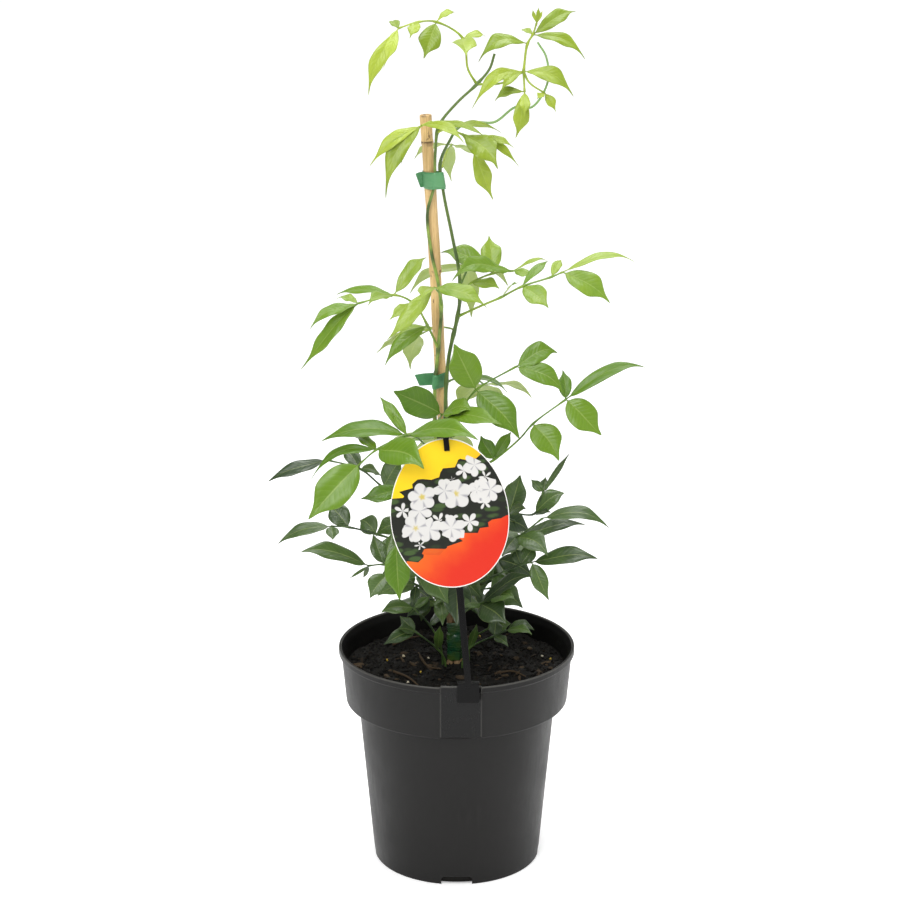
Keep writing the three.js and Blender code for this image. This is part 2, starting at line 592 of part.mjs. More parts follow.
// A frame on the stick's top: X across it, Y away from the viewer, Z along it.
function onStick() {
  const up = stickHead.clone().sub(stickFoot).normalize();
  const back = new THREE.Vector3(0, 1, 0).addScaledVector(up, -up.y).normalize();
  const right = new THREE.Vector3().crossVectors(back, up);
  return new THREE.Matrix4().makeBasis(right, back, up).setPosition(stickHead);
}

function makeHolder() {
  const length = stickHead.distanceTo(stickFoot);
  const frame = onStick();
  const local = (size, centre) => solid(
    new THREE.BoxGeometry(...size).translate(...centre).applyMatrix4(frame));
  const cardFront = -STICK.thickness / 2 - GAP * 2 - CARD.thickness;
  const barDepth = STICK.thickness / 2 - cardFront + HEAD.tabThickness;
  const stick = local([STICK.width, STICK.thickness, length + STICK.lap * 2], [0, 0, -length / 2]);
  const bar = local(
    [HEAD.width, barDepth, HEAD.height],
    [0, (STICK.thickness - barDepth) / 2, HEAD.height / 2]);
  const tab = local(
    [HEAD.tabWidth, HEAD.tabThickness, HEAD.tab],
    [0, cardFront - HEAD.tabThickness / 2, HEAD.height - HEAD.tab / 2]);
  const x = STICK.foot[0];
  const front = -panelFace(RIM.height) - GAP;
  const back = -panelFace(RIM.height - CLIP.tongue) + WALL + GAP;
  const flap = box(
    CLIP.width, CLIP.thickness, CLIP.drop + CLIP.rise,
    x, front - CLIP.thickness / 2, RIM.height + (CLIP.rise - CLIP.drop) / 2);
  const bridge = box(
    CLIP.width, back - front + CLIP.thickness * 2, CLIP.rise - GAP,
    x, (back + front) / 2, RIM.height + (CLIP.rise + GAP) / 2);
  const tongue = box(
    CLIP.tongueWidth, CLIP.thickness, CLIP.tongue + CLIP.rise,
    x, back + CLIP.thickness / 2, RIM.height + (CLIP.rise - CLIP.tongue) / 2);
  return join([stick, bar, tab, flap, bridge, tongue]);
}

// Card: an oval, slightly narrower towards the top, hanging before the stick.
function makeCard() {
  const outline = new THREE.Shape();
  for (let i = 0; i < CARD.corners; i++) {
    const turn = (i / CARD.corners) * 2 * Math.PI;
    const x = (CARD.width / 2) * Math.cos(turn) * (1 - CARD.taper * Math.sin(turn));
    const y = (CARD.height / 2) * Math.sin(turn);
    if (i === 0) outline.moveTo(x, y);
    else outline.lineTo(x, y);
  }
  const hung = new THREE.Matrix4()
    .makeTranslation(CARD.offset, -STICK.thickness / 2 - GAP, -CARD.height / 2 - GAP);
  const sheet = new THREE.ExtrudeGeometry(outline, { depth: CARD.thickness, bevelEnabled: false });
  return solid(sheet.rotateX(Math.PI / 2).applyMatrix4(hung).applyMatrix4(onStick()));
}

// The stems with clearance, the fronds that come out of the soil, and the holes they stand in.
const clearStems = makeStem(STEM_RIGHT, GAP).add(makeStem(STEM_LEFT, GAP));
const hole = { base: PETIOLE.base + GAP * 1.5, end: PETIOLE.end + GAP * 1.5 };
const stalkHoles = Object.entries(FRONDS)
  .filter(([name]) => name.startsWith('base_'))
  .map(([, [, { stalk }]]) => rod(deeper(stalk, GAP), [hole.base, hole.end], PETIOLE.sides, 1));

const group = new THREE.Group();
group.name = 'potted_wonga_vine';
group.add(piece('pot', makePot(), POT_PLASTIC));
group.add(piece('soil', makeSoil([clearStems, makeCane(GAP), ...stalkHoles]), POTTING_MIX));
group.add(piece('cane', makeCane(), BAMBOO));
group.add(piece('stem_right', makeStem(STEM_RIGHT), BARK));
group.add(piece('stem_left', makeStem(STEM_LEFT), BARK));
for (const [name, [tone, ...branches]] of Object.entries(FRONDS)) {
  const frond = largest(makeFrond(branches).subtract(clearStems));
  group.add(piece(`frond_${name}`, frond, LEAF[tone]));
}
const caneBound = [CANE.path, CANE.radius];
const leftBound = [STEM_LEFT.points, STEM_LEFT.radius[0]];
const rightBound = [STEM_RIGHT.points, STEM_RIGHT.radius[0]];
group.add(piece('tie_low', band([caneBound, leftBound], TIE_LOW), GREEN_TAPE));
group.add(piece('tie_high', band([caneBound, leftBound, rightBound], TIE_HIGH), GREEN_TAPE));
group.add(piece('tie_base', band([caneBound, leftBound, rightBound], TIE_BASE), GREEN_TAPE));
group.add(piece('label_holder', makeHolder(), CLIP_PLASTIC));
group.add(piece('label_card', makeCard(), PRINTED_CARD));

export default group;
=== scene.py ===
# A potted climbing vine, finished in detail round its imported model: nursery pot, potting mix, cane,
# tape ties, stems, compound leaves and a plant label on its holder.
import math

import bpy
import numpy as np
from bpy.props import FloatProperty, FloatVectorProperty, IntProperty, PointerProperty
from mathutils import Matrix


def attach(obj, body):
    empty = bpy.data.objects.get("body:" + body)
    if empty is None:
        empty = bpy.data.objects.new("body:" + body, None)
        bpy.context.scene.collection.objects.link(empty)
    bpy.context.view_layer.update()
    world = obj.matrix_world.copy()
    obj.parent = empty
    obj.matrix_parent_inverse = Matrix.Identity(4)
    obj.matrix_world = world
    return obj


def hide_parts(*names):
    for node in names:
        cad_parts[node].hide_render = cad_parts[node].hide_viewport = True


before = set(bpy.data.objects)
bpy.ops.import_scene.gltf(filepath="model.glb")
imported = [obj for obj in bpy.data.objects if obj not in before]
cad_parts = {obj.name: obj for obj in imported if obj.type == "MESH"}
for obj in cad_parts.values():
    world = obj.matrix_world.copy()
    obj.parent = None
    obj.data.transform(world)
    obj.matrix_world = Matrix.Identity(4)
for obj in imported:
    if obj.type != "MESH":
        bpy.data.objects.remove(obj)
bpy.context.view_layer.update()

bl_info = {
    "name": "Potted climbing vine",
    "version": (1, 0, 0),
    "blender": (4, 5, 0),
    "location": "View3D > Sidebar > Vine",
    "description": "Builds a potted climbing vine round its packed model",
    "category": "Add Mesh",
}

MM = 0.001

# Camera of the photograph: height and distance in metres, pitch in degrees, focal length in pixels.
PHOTO_PIXELS = 900
CAMERA = {"distance": 1.9, "height": 0.9236, "pitch": 16.48, "focal": 2390, "offset": 6.6}
SENSOR = 36.0

# Studio, in metres: where each light is and aims, and a floor that turns up into a back wall.
LIGHTS = {
    "key": [(-0.7, -1.7, 1.9), (0, 0, 0.35)],
    "fill": [(1.7, -1.0, 1.0), (0, 0, 0.3)],
    "top": [(0.1, 0.1, 2.1), (0, 0, 0.4)],
}
FLOOR = {"half": 6.0, "front": -4.0, "back": 2.0, "bend": 1.5, "height": 5.0}

# The plant's points are [x, depth, z] in mm, as seen against the plane Y = 0 by this eye.
EYE_DISTANCE = 1900
EYE_HEIGHT = 924

# Pot, in mm, on the pot's axis.
RIM = {"radius": 100, "height": 190, "bead": 6}
COLLAR = {"top": 97.8, "foot": 94, "height": 142.5}
BODY = {"top": 83.8, "foot": 71}
WALL = 1.6
PANEL = {"x": 3.5, "half": 16.5, "recess": 1.3, "edge": 0.25, "step": 0.5, "front": 81}
NOTCH = {"width": 26, "height": 8, "count": 4, "reach": 9, "corner": 2.5}
SOIL = {"level": 170, "mound": 3, "relief": 1.1, "reach": 91.5, "rings": 60}
POT_COLUMNS = 150

# Lumps on the mix: sizes from and to in mm along, across and up, share of the height that is sunk,
# range of tints, how uneven they are, and how far they stay from the reach.
CRUMBS = [[(0.8, 3.6), (0.8, 3.0), (0.7, 2.4)], 0.45, (0, 0.75), 0.25, 0]
CHIPS = [[(4, 12), (2, 5.5), (1, 2.6)], 0.3, (0.45, 1), 0.35, 6]
PRILLS = [[(2.2, 3.0), (2.2, 3.0), (2.2, 3.0)], 0.2, (0, 1), 0.05, 8]

# Twigs and roots on the mix: points [x, y], height of the middle line in mm, tint.
TWIGS = [
    ([[-53, -20], [-40, -38], [-28, -60]], 2.2, 0.95),
    ([[-55, 36], [-42, 50], [-30, 60]], 2.4, 1.0),
    ([[-31, 6], [-24, -12], [-13, -24]], 2.2, 1.0),
    ([[34, -30], [47, -26], [58, -34]], 1.8, 0.9),
]

CANE = {
    "radius": 5,
    "path": [[7, 6, 45], [2.5, 6, 172], [0, 6, 212], [-12.4, 6, 410], [-18.7, 6, 540], [-24.8, 6, 640]],
    "joints": [244, 376, 513, 618],
    "around": 30,
    "end_radius": [4.75, 4.3, 1.5, 1.15, 0.6],
    "end_depth": [0.0, 0.25, 0.1, -1.2, -4.0],
    "end_tint": [0.8, 0.5, 1, 1, 1],
}
STEM_RIGHT = {
    "radius": [2.3, 0.8],
    "points": [
        [0, -5, 125], [0.5, -5, 172], [1.5, -5, 212], [-2, -5, 300], [-9, -4, 396], [-6.5, -4, 440],
        [0.8, 0, 475], [2.7, 0, 490], [2, 0, 512], [-3, 0, 539], [-11, -1, 580], [-13, -1, 602],
        [-5, -1, 620], [0, 2, 628], [10, 6, 634], [30, 8, 634], [47, 8, 646], [60, 8, 646],
        [72, 8, 665], [71, 6, 685], [64, 4, 697],
    ],
}
STEM_LEFT = {
    "radius": [2.1, 1.0],
    "points": [
        [-6, -5, 125], [-5.6, -5, 172], [-6, -5, 212], [-14, -7, 300], [-18, -3, 410], [-15, -2, 448],
        [-12.6, -2, 484], [-16, -2, 508], [-20, -2, 526], [-23.5, -2, 560], [-18, -2, 583],
        [-17, -3, 610], [-14, -3, 631], [0, -1, 649], [16, 0, 664], [26, 3, 676], [30, 6, 688],
    ],
}
STEM_FOOT = {"above": 180, "below": 172, "swell": 1.3}
STEM_AROUND = 16

# Label card and its stick, in mm.
CARD = {"width": 95, "height": 122, "thickness": 0.8, "taper": 0.05, "offset": -2.6, "bow": 0.9}
CARD_AROUND = 120
STICK = {"foot": [9.5, -97.7, 192], "head": [-8.5, -74, 394], "width": 5.5, "thickness": 2}
HEAD = {"width": 14, "height": 2.4, "tab": 13, "tab_width": 4.5, "tab_thickness": 1.2}
CLIP = {"width": 18, "thickness": 1.6, "drop": 14, "rise": 3.5, "tongue": 10, "tongue_width": 13}
GAP = 0.35

# Tapes: the heights of each band and how far its tail stands out. The base tape is three turns, each
# with its bottom and top above the lowest edge, its tilt, and its lift off the stems.
TIE_LOW = {"bottom": 415, "top": 427, "tail": 15}
TIE_HIGH = {"bottom": 580, "top": 594, "tail": 5}
TIE_BASE = {"bottom": 177, "top": 212, "turns": [(0, 13, 0.1, 0), (9, 24, -0.14, 0.3), (20, 35, 0.16, 0.1)]}

# Leaflets: grid, share of the length that is its own stalk, half thickness in mm, side veins, fold.
LEAFLET = {"stations": 44, "around": 22, "stalk": 0.06, "half": 0.22, "veins": 8, "fold": 0.16}

# How leaflets of each tone are formed: powers of the half width's rise and fall, how much the tip is
# drawn out, waves of the margin in mm, twist in radians, and bow to a side as a share of the length.
HABITS = {
    "young": {"rise": 0.85, "fall": 0.6, "drip": 0.8, "wave": 2.2, "twist": 0.7, "bow": 0.06},
    "light": {"rise": 0.75, "fall": 0.75, "drip": 0.7, "wave": 1.5, "twist": 0.5, "bow": 0.05},
    "fresh": {"rise": 0.6, "fall": 0.72, "drip": 0.6, "wave": 0.8, "twist": 0.3, "bow": 0.04},
    "dark": {"rise": 0.65, "fall": 0.8, "drip": 0.5, "wave": 0.7, "twist": 0.3, "bow": 0.045},
}
SLOTS = {"young": "leaf_young", "light": "leaf_fresh", "fresh": "leaf_fresh", "dark": "leaf_dark"}

# Compound leaves: tone, then branches, each the points of its stalk and its leaflets. A leaflet is
# [point of the stalk, tip x, tip depth, tip z, width, lean of its face towards the front in degrees,
# arch in mm].
FRONDS = {
    "top_left": ("young", [(
        [[16, 0, 664], [9, 0, 676], [5, 0, 700], [-16, -2, 713], [-30, -4, 713], [-46, -6, 708]],
        [[2, 8, -34, 686, 20, 40, 3], [2, 23, 10, 701, 9, 35, 3], [3, -26, -18, 684, 18, 70, 2],
         [3, -1, 8, 720, 7, 30, 3], [4, -37, -22, 700, 10, 40, 2], [5, -70, -10, 655, 12, 60, 5],
         [5, -58, -26, 677, 10, 55, 4], [5, -52, 14, 712, 9, 30, 2]],
    )]),
    "top_right": ("young", [(
        [[16, 0, 664], [36, -4, 665], [53, -5, 674]],
        [[2, 93, -14, 654, 14, 55, 8], [2, 12, -18, 644, 12, 50, 14], [2, 35, -24, 658, 8, 45, 3]],
    ), (
        [[53, -5, 674], [56, -2, 696], [60, -2, 703], [63, -2, 712]],
        [[1, 17, -12, 681, 14, 45, 10], [2, 94, 8, 721, 13, 60, 2], [2, 102, -8, 683, 11, 50, 6],
         [2, 52, 14, 706, 7, 30, 2], [3, 60, -2, 723, 3, 60, 0], [3, 64, -2, 725, 3, 60, 0],
         [3, 68, -2, 722, 3, 60, 0]],
    ), (
        [[53, -5, 674], [58, -8, 665], [70, -10, 657]],
        [[2, 79, -14, 642, 8, 60, 2], [2, 64, -20, 652, 6, 50, 1]],
    ), (
        [[53, -5, 674], [54, -10, 658]],
        [[1, 47, -14, 621, 13, 65, 2], [1, 54, -24, 638, 9, 60, 2], [1, 30, -18, 650, 9, 45, 4]],
    )]),
    "crown_left": ("young", [(
        [[-14, -3, 631], [-21, -12, 634], [-28, -16, 631]],
        [[2, -70, -26, 598, 12, 42, 9], [2, -57, -36, 572, 15, 62, 12], [2, -44, -12, 600, 7, 50, 6],
         [2, 6, -42, 617, 11, 42, 7], [1, 24, -38, 621, 7, 35, 4]],
    )]),
    "crown_right": ("young", [(
        [[-15, -3, 626], [-6, -12, 629], [5, -18, 624], [18, -20, 622]],
        [[2, 33, -36, 596, 21, 62, 4], [3, 46, -26, 613, 7, 45, 2], [3, 50, -22, 598, 7, 45, 5],
         [1, 36, 2, 625, 9, 30, 4]],
    ), (
        [[5, -18, 624], [13, -15, 611]],
        [[1, 29.5, -14, 571, 14, 64, 4]],
    )]),
    "mid_left": ("light", [(
        [[-15, -2, 448], [-24, -8, 468], [-35, -10, 486], [-51, -12, 493], [-80, -14, 486]],
        [[4, -128, -18, 430, 14, 40, 6], [4, -120, -26, 464, 11, 35, 4], [4, -98, 0, 489, 10, 20, 3],
         [3, -98, 10, 493, 12, 20, 4], [3, -24, 2, 524, 13, 40, 4], [3, -72, -34, 484, 12, 30, 3],
         [1, -59, -16, 433, 12, 50, 3], [2, -55, -36, 472, 10, 35, 2]],
    )]),
    "mid_front": ("light", [(
        [[-12.6, -2, 484], [-14, -14, 494], [-18, -26, 499]],
        [[2, -57, -40, 455, 14, 50, 3], [2, 25, -38, 482, 17, 40, 4], [2, -28, -62, 488, 13, 30, 3]],
    )]),
    "mid_right": ("light", [(
        [[0.8, 0, 475], [20, -6, 484], [36, -10, 491], [53, -12, 500], [77, -12, 508], [86, -12, 512]],
        [[5, 125, -22, 486, 20, 55, 3], [5, 146, -4, 519, 9, 30, 7], [4, 85, 4, 522, 8, 45, 2],
         [3, 75, -28, 482, 18, 50, 2], [2, 51, -30, 503, 9, 30, 2], [3, 74, 10, 521, 8, 30, 3]],
    )]),
    "mid_back": ("light", [(
        [[2.7, 0, 492], [12, 8, 503], [30, 10, 511], [46, 8, 513]],
        [[3, -4, -16, 504, 17, 42, 8], [2, -13, 16, 528, 18, 50, 3], [2, 26, 28, 542, 17, 65, 0],
         [3, 74, 14, 521, 5, 20, 4], [3, 62, 0, 508, 9, 40, 1], [1, 35, -8, 498, 12, 40, 1]],
    )]),
    "right_upper": ("fresh", [(
        [[-8.5, -4, 388], [5, -14, 399], [16, -18, 413], [49, -22, 433]],
        [[2, -2, -16, 452, 26, 70, 0], [2, 52, -34, 371, 25, 62, 3], [3, 83, -14, 444, 17, 60, 5],
         [3, 89, -30, 409, 17, 62, 5]],
    )]),
    "right_lower": ("fresh", [(
        [[-5, -4, 338], [12, -10, 343], [31, -16, 353], [52, -14, 371], [63, -14, 384], [90, -18, 405]],
        [[5, 120, -30, 374, 24, 60, 2], [5, 155, -14, 432, 12, 45, 8], [5, 87, -6, 430, 11, 60, 0],
         [4, 85, -30, 352, 24, 60, 3], [2, 20, -8, 374, 14, 60, 0], [2, 45, -4, 377, 10, 60, 2]],
    )]),
    "left_upper": ("fresh", [(
        [[-16, -5, 352], [-26, -30, 366], [-41, -58, 374], [-66, -66, 362], [-80, -66, 350]],
        [[2, 18, -99, 370, 20, 38, 8], [2, -112, -54, 369, 20, 25, 8], [2, -63, -40, 407, 10, 50, 2],
         [2, -53, -50, 394, 5, 50, 0], [3, -27, -103, 345, 26, 60, 4], [3, -122, -58, 334, 10, 35, 11],
         [3, -84, -48, 372, 10, 20, 1], [4, -124, -84, 301, 29, 62, 3]],
    )]),
    "left_far": ("dark", [(
        [[-11, -6, 300], [-40, -20, 318], [-61, -28, 329], [-80, -32, 345], [-108, -34, 353]],
        [[4, -157, -38, 334, 13, 35, 3], [3, -94, -14, 362, 13, 45, 2], [2, -46, -34, 353, 18, 55, 2],
         [3, -62, -16, 338, 10, 40, 3]],
    )]),
    "left_behind_card": ("fresh", [(
        [[-12, -6, 312], [-30, -30, 322], [-45, -40, 328]],
        [[2, -80, -48, 319, 15, 50, 0], [2, -40, -58, 300, 16, 55, 2], [1, -22, -44, 340, 16, 55, 2]],
    )]),
    "centre_upper": ("fresh", [(
        [[-17, -4, 384], [-12, -22, 392]],
        [[1, -52, -34, 412, 25, 60, 2], [1, 14, -34, 394, 20, 32, 5], [1, 38, -50, 383, 18, 38, 4]],
    )]),
    "low_left_upper": ("dark", [(
        [[-9, -6, 258], [-40, -14, 278], [-67, -18, 288], [-90, -20, 294], [-105, -20, 295]],
        [[4, -150, -24, 279, 13, 35, 4], [3, -106, -6, 313, 18, 60, 2], [4, -104, -34, 283, 11, 45, 0],
         [2, -81, -6, 300, 17, 60, 2]],
    )]),
    "low_left_mid": ("dark", [(
        [[-7, -5, 236], [-40, -24, 254], [-61, -30, 261], [-74, -32, 260]],
        [[2, -70, -20, 288, 13, 60, 0], [2, -54, -18, 289, 14, 62, 0], [3, -131, -46, 272, 18, 32, 4],
         [3, -91, -38, 248, 3, 40, 0], [3, -79, -44, 249, 4, 40, 0], [2, -50, -48, 258, 7, 40, 1]],
    )]),
    "low_left_low": ("dark", [(
        [[-6, -5, 222], [-34, -34, 243], [-58, -42, 253]],
        [[2, -73, -50, 231, 18, 62, 1], [1, -67, -62, 233, 14, 55, 2], [1, -37, -46, 225, 8, 55, 0]],
    )]),
    "low_left_front": ("fresh", [(
        [[-10, -6, 270], [-30, -36, 284], [-51, -64, 280]],
        [[2, -48, -76, 229, 21, 70, 1]],
    )]),
    "low_right_upper": ("dark", [(
        [[0, -5, 262], [28, -14, 276], [50, -20, 285], [72, -24, 302]],
        [[3, 128, -30, 293, 15, 32, 9], [2, 108, -12, 296, 14, 35, 4], [2, 77, -40, 268, 19, 50, 5],
         [2, 38, -44, 268, 16, 55, 2]],
    )]),
    "low_right_light": ("dark", [(
        [[-1, -5, 284], [30, 2, 298], [44, 4, 306], [65, 6, 306], [72, 6, 325]],
        [[3, 90, 4, 324, 15, 60, 4], [4, 94, 8, 359, 5, 65, 0], [4, 62, 10, 336, 8, 70, 0],
         [4, 74, 12, 338, 8, 70, 0], [2, 53, 8, 340, 19, 75, 0], [2, 58, -12, 310, 10, 60, 3],
         [3, 79, -8, 307, 7, 40, 1]],
    )]),
    "low_right_mid": ("dark", [(
        [[0, -5, 236], [34, -22, 252], [54, -30, 261], [63, -32, 263]],
        [[3, 119, -42, 266, 18, 34, 5], [3, 78, -44, 229, 14, 60, 2], [2, 66, -22, 279, 13, 55, 0],
         [2, 48, -24, 276, 10, 50, 0]],
    )]),
    "low_right_low": ("dark", [(
        [[1, -5, 216], [20, -30, 226], [28, -34, 230]],
        [[1, 64, -50, 250, 14, 40, 4], [2, 49, -50, 230, 16, 45, 4], [1, 42, -54, 208, 24, 60, 2],
         [1, 5, -50, 222, 13, 45, 2]],
    )]),
    "base_left_high": ("dark", [(
        [[-11.5, -6, 155], [-12, -6, 176], [-14, -7, 190], [-23, -11, 207], [-36, -18, 222]],
        [[4, -64, -26, 218, 14, 40, 2], [4, -22, -12, 233, 7, 50, 0], [3, -10, -24, 217, 9, 50, 1]],
    )]),
    "base_left_low": ("dark", [(
        [[-9.5, -13, 155], [-10, -13.5, 175], [-16, -17, 185], [-35, -26, 201]],
        [[3, -48, -28, 215, 11, 50, 0], [3, -50, -38, 203, 10, 45, 1], [3, -62, -46, 189, 12, 45, 3],
         [2, -14, -38, 206, 8, 50, 0]],
    )]),
    "base_right_low": ("dark", [(
        [[5, -13, 155], [5.5, -13.5, 175], [11, -15, 186], [32, -22, 197], [42, -24, 202]],
        [[4, 66, -28, 202, 12, 40, 3], [4, 64, -40, 198, 9, 40, 2], [3, 44, -42, 187, 9, 45, 2],
         [3, 34, -14, 212, 12, 55, 0], [2, 17, -20, 208, 7, 60, 0]],
    )]),
    "base_right_high": ("dark", [(
        [[10.5, -4, 155], [10.5, -4, 176], [12, -5, 193], [29, -10, 205]],
        [[3, 46, -14, 208, 13, 50, 1], [3, 32, -2, 222, 9, 40, 0]],
    )]),
    "back_crown": ("young", [(
        [[-12, -1, 598], [-8, 14, 610], [-4, 34, 616]],
        [[2, -34, 56, 604, 12, -30, 4], [2, 24, 58, 600, 12, -35, 4], [2, -4, 76, 586, 11, -60, 4]],
    )]),
    "back_mid": ("fresh", [(
        [[2.5, 0, 500], [8, 20, 513], [8, 42, 519]],
        [[2, -38, 64, 494, 17, -35, 6], [2, 42, 60, 500, 17, -30, 6], [2, 12, 88, 474, 16, -62, 5],
         [1, 32, 34, 510, 13, 0, 3]],
    )]),
    "back_mid_left": ("light", [(
        [[-2, -1, 460], [-2, 16, 464], [-16, 38, 466], [-30, 56, 460]],
        [[3, -66, 68, 444, 16, -25, 5], [3, -38, 92, 430, 16, -60, 4], [2, -52, 30, 456, 14, 10, 3]],
    )]),
    "back_upper": ("fresh", [(
        [[-7.5, -3, 420], [2, 14, 424], [12, 38, 426], [22, 58, 418]],
        [[3, 0, 84, 396, 21, -40, 5], [3, 62, 72, 406, 21, -25, 5], [3, 34, 106, 384, 19, -60, 5],
         [2, 42, 34, 410, 17, 0, 3]],
    )]),
    "back_card": ("fresh", [(
        [[-6, -4, 350], [2, 10, 358], [-5, 36, 372], [-18, 60, 374]],
        [[3, -58, 80, 358, 21, -30, 6], [3, 18, 86, 354, 21, -35, 5], [3, -28, 111, 336, 20, -62, 5],
         [2, -44, 36, 366, 17, 5, 3]],
    )]),
    "back_low_right": ("dark", [(
        [[-1, -5, 300], [8, 14, 307], [24, 34, 304], [38, 50, 293]],
        [[3, 76, 60, 272, 18, -20, 5], [3, 20, 82, 272, 18, -40, 5], [3, 54, 94, 256, 18, -62, 5],
         [2, 50, 16, 298, 15, 5, 3]],
    )]),
    "back_low_left": ("dark", [(
        [[0, -5, 250], [6, 10, 260], [-6, 38, 272], [-20, 58, 275]],
        [[3, -56, 72, 264, 17, -28, 5], [3, 8, 84, 260, 17, -35, 5], [3, -26, 104, 242, 16, -62, 4],
         [2, -46, 34, 270, 14, 5, 3]],
    )]),
    "low_centre_left": ("dark", [(
        [[-6.5, -6, 240], [-16, -22, 256], [-27, -32, 264]],
        [[2, -46, -52, 244, 15, 50, 3], [2, -7, -44, 226, 24, 66, 2], [1, -2, -38, 246, 15, 58, 1]],
    )]),
    "low_back_left": ("dark", [(
        [[-6.5, -5, 217], [-16, 4, 224], [-30, 28, 226]],
        [[2, -58, 42, 218, 14, 15, 4], [2, -30, 56, 210, 15, -20, 4], [1, -40, 10, 234, 12, 45, 2]],
    )]),
    "low_back_right": ("dark", [(
        [[1.2, -5, 230], [14, 16, 244], [22, 34, 250]],
        [[2, 50, 48, 246, 15, -10, 4], [2, 22, 66, 232, 15, -40, 4], [1, 36, 12, 250, 13, 45, 2]],
    )]),
    "behind_card_right": ("dark", [(
        [[-1, -5, 270], [10, -26, 284], [22, -40, 290]],
        [[2, 40, -56, 284, 18, 50, 3], [2, 6, -58, 300, 18, 55, 3], [2, 38, -46, 316, 17, 60, 2]],
    )]),
}

# Dark leaves among the stems that fill the foot of the plant, in the same notation.
INNER_LEAVES = [(
    [[0, -5, 246], [1, -16, 252], [0, -26, 250]],
    [[2, 0, -50, 206, 24, 64, 2], [2, -19, -40, 224, 14, 60, 2], [1, 22, -30, 230, 16, 55, 2]],
), (
    [[0, -5, 228], [14, -4, 237], [28, 0, 240]],
    [[2, 56, -6, 222, 20, 58, 3], [2, 34, 12, 216, 19, 62, 2], [1, 20, -26, 213, 18, 60, 2],
     [2, 46, 10, 246, 15, 60, 1]],
), (
    [[0, -5, 256], [18, 4, 264], [34, 8, 266]],
    [[2, 64, 6, 250, 18, 55, 3], [2, 44, 24, 246, 17, 60, 2], [1, 30, -8, 246, 15, 60, 2]],
), (
    [[-1, -5, 296], [16, 8, 303], [32, 14, 302]],
    [[2, 62, 20, 288, 18, 50, 3], [2, 40, 30, 278, 17, 60, 3], [1, 30, -2, 284, 15, 60, 2]],
), (
    [[-8, -6, 248], [-24, 2, 257], [-38, 6, 258]],
    [[2, -66, 4, 247, 16, 55, 3], [2, -46, 18, 238, 15, 60, 2], [1, -30, -4, 238, 14, 60, 1]],
), (
    [[-10, -6, 290], [-28, 4, 297], [-42, 8, 298]],
    [[2, -68, 6, 286, 16, 55, 3], [2, -50, 22, 280, 14, 60, 2], [1, -32, -6, 280, 14, 60, 2]],
), (
    [[-6, -5, 222], [-14, -8, 230], [-22, -10, 230]],
    [[2, -42, -14, 214, 15, 58, 2], [1, -12, -30, 206, 13, 60, 2], [2, -36, -2, 238, 12, 55, 1]],
)]


# Geometry helpers. Lengths are in mm until a mesh is made.
def place(points):
    """Real places of seen ones: all grows by 1 + depth / eye distance about the eye's height."""
    p = np.atleast_2d(np.asarray(points, float))
    grow = 1 + p[:, 1:2] / EYE_DISTANCE
    return np.hstack([p[:, :1] * grow, p[:, 1:2], EYE_HEIGHT + (p[:, 2:] - EYE_HEIGHT) * grow])


def unit(v):
    """Each vector over its own length."""
    return v / np.linalg.norm(v, axis=-1, keepdims=True)


def smoothstep(low, high, x):
    """0 below low, 1 above high, and 3t^2 - 2t^3 between them."""
    t = np.clip((x - low) / (high - low), 0, 1)
    return t * t * (3 - 2 * t)


def turns(count):
    """Equal turns round a circle, in radians."""
    return np.linspace(0, 2 * math.pi, count, endpoint=False)


def squared(wave, power):
    """A sine or cosine raised to a power, its sign kept: a power below 1 squares a circle off."""
    return np.sign(wave) * np.abs(wave) ** power


def bells(distances, width):
    """The sum of bell curves: e to the power of minus the square of distance / width."""
    return sum(np.exp(-((distance / width) ** 2)) for distance in distances)


def run(path):
    """The length along the path up to each of its points."""
    return np.concatenate([[0], np.cumsum(np.linalg.norm(np.diff(path, axis=0), axis=1))])


def curve(points, per_span):
    """A centripetal Catmull-Rom curve through the points: a cubic on each span, whose end slopes come
    from the neighbours, weighted by the square root of the distances."""
    p = np.asarray(points, float)
    full = np.vstack([2 * p[0] - p[1], p, 2 * p[-1] - p[-2]])
    a, b, c, d = full[:-3], full[1:-2], full[2:-1], full[3:]
    knots = [np.sqrt(np.linalg.norm(n - m, axis=1))[:, None] for m, n in ((a, b), (b, c), (c, d))]
    before, here, after = knots
    start = ((b - a) / before - (c - a) / (before + here) + (c - b) / here) * here
    end = ((c - b) / here - (d - b) / (here + after) + (d - c) / after) * here
    s = np.linspace(0, len(p) - 1, per_span * (len(p) - 1) + 1)
    span = np.minimum(s.astype(int), len(p) - 2)
    t = (s - span)[:, None]
    b, c, start, end = b[span], c[span], start[span], end[span]
    return b + start * t + (3 * (c - b) - 2 * start - end) * t**2 + (2 * (b - c) + start + end) * t**3


def carried_frames(path):
    """Two directions square to the path at each point, carried along it without turning about it. Going
    round from the first to the second is clockwise for someone who looks along the path."""
    along = unit(np.gradient(path, axis=0))
    sides = np.zeros_like(path)
    side = np.eye(3)[np.argmin(np.abs(along[0]))]
    for i, direction in enumerate(along):
        side = unit(side - direction * (side @ direction))
        sides[i] = side
    return sides, np.cross(sides, along)


def rings_along(spine, reach, side, third):
    """Rings about a spine: at each turn the reach, times its cosine to the side and its sine to the
    third direction."""
    turn = turns(reach.shape[1])
    ways = np.cos(turn)[:, None] * side[:, None] + np.sin(turn)[:, None] * third[:, None]
    return spine[:, None] + reach[..., None] * ways


def quads(rows, columns, wrap=True):
    """Faces of a grid of rows by columns, the columns joined round if wrap."""
    index = np.arange(rows * columns).reshape(rows, columns)
    right = np.roll(index, -1, axis=1)
    if not wrap:
        index, right = index[:, :-1], right[:, :-1]
    return np.stack([index[:-1], index[1:], right[1:], right[:-1]], axis=-1).reshape(-1, 4)


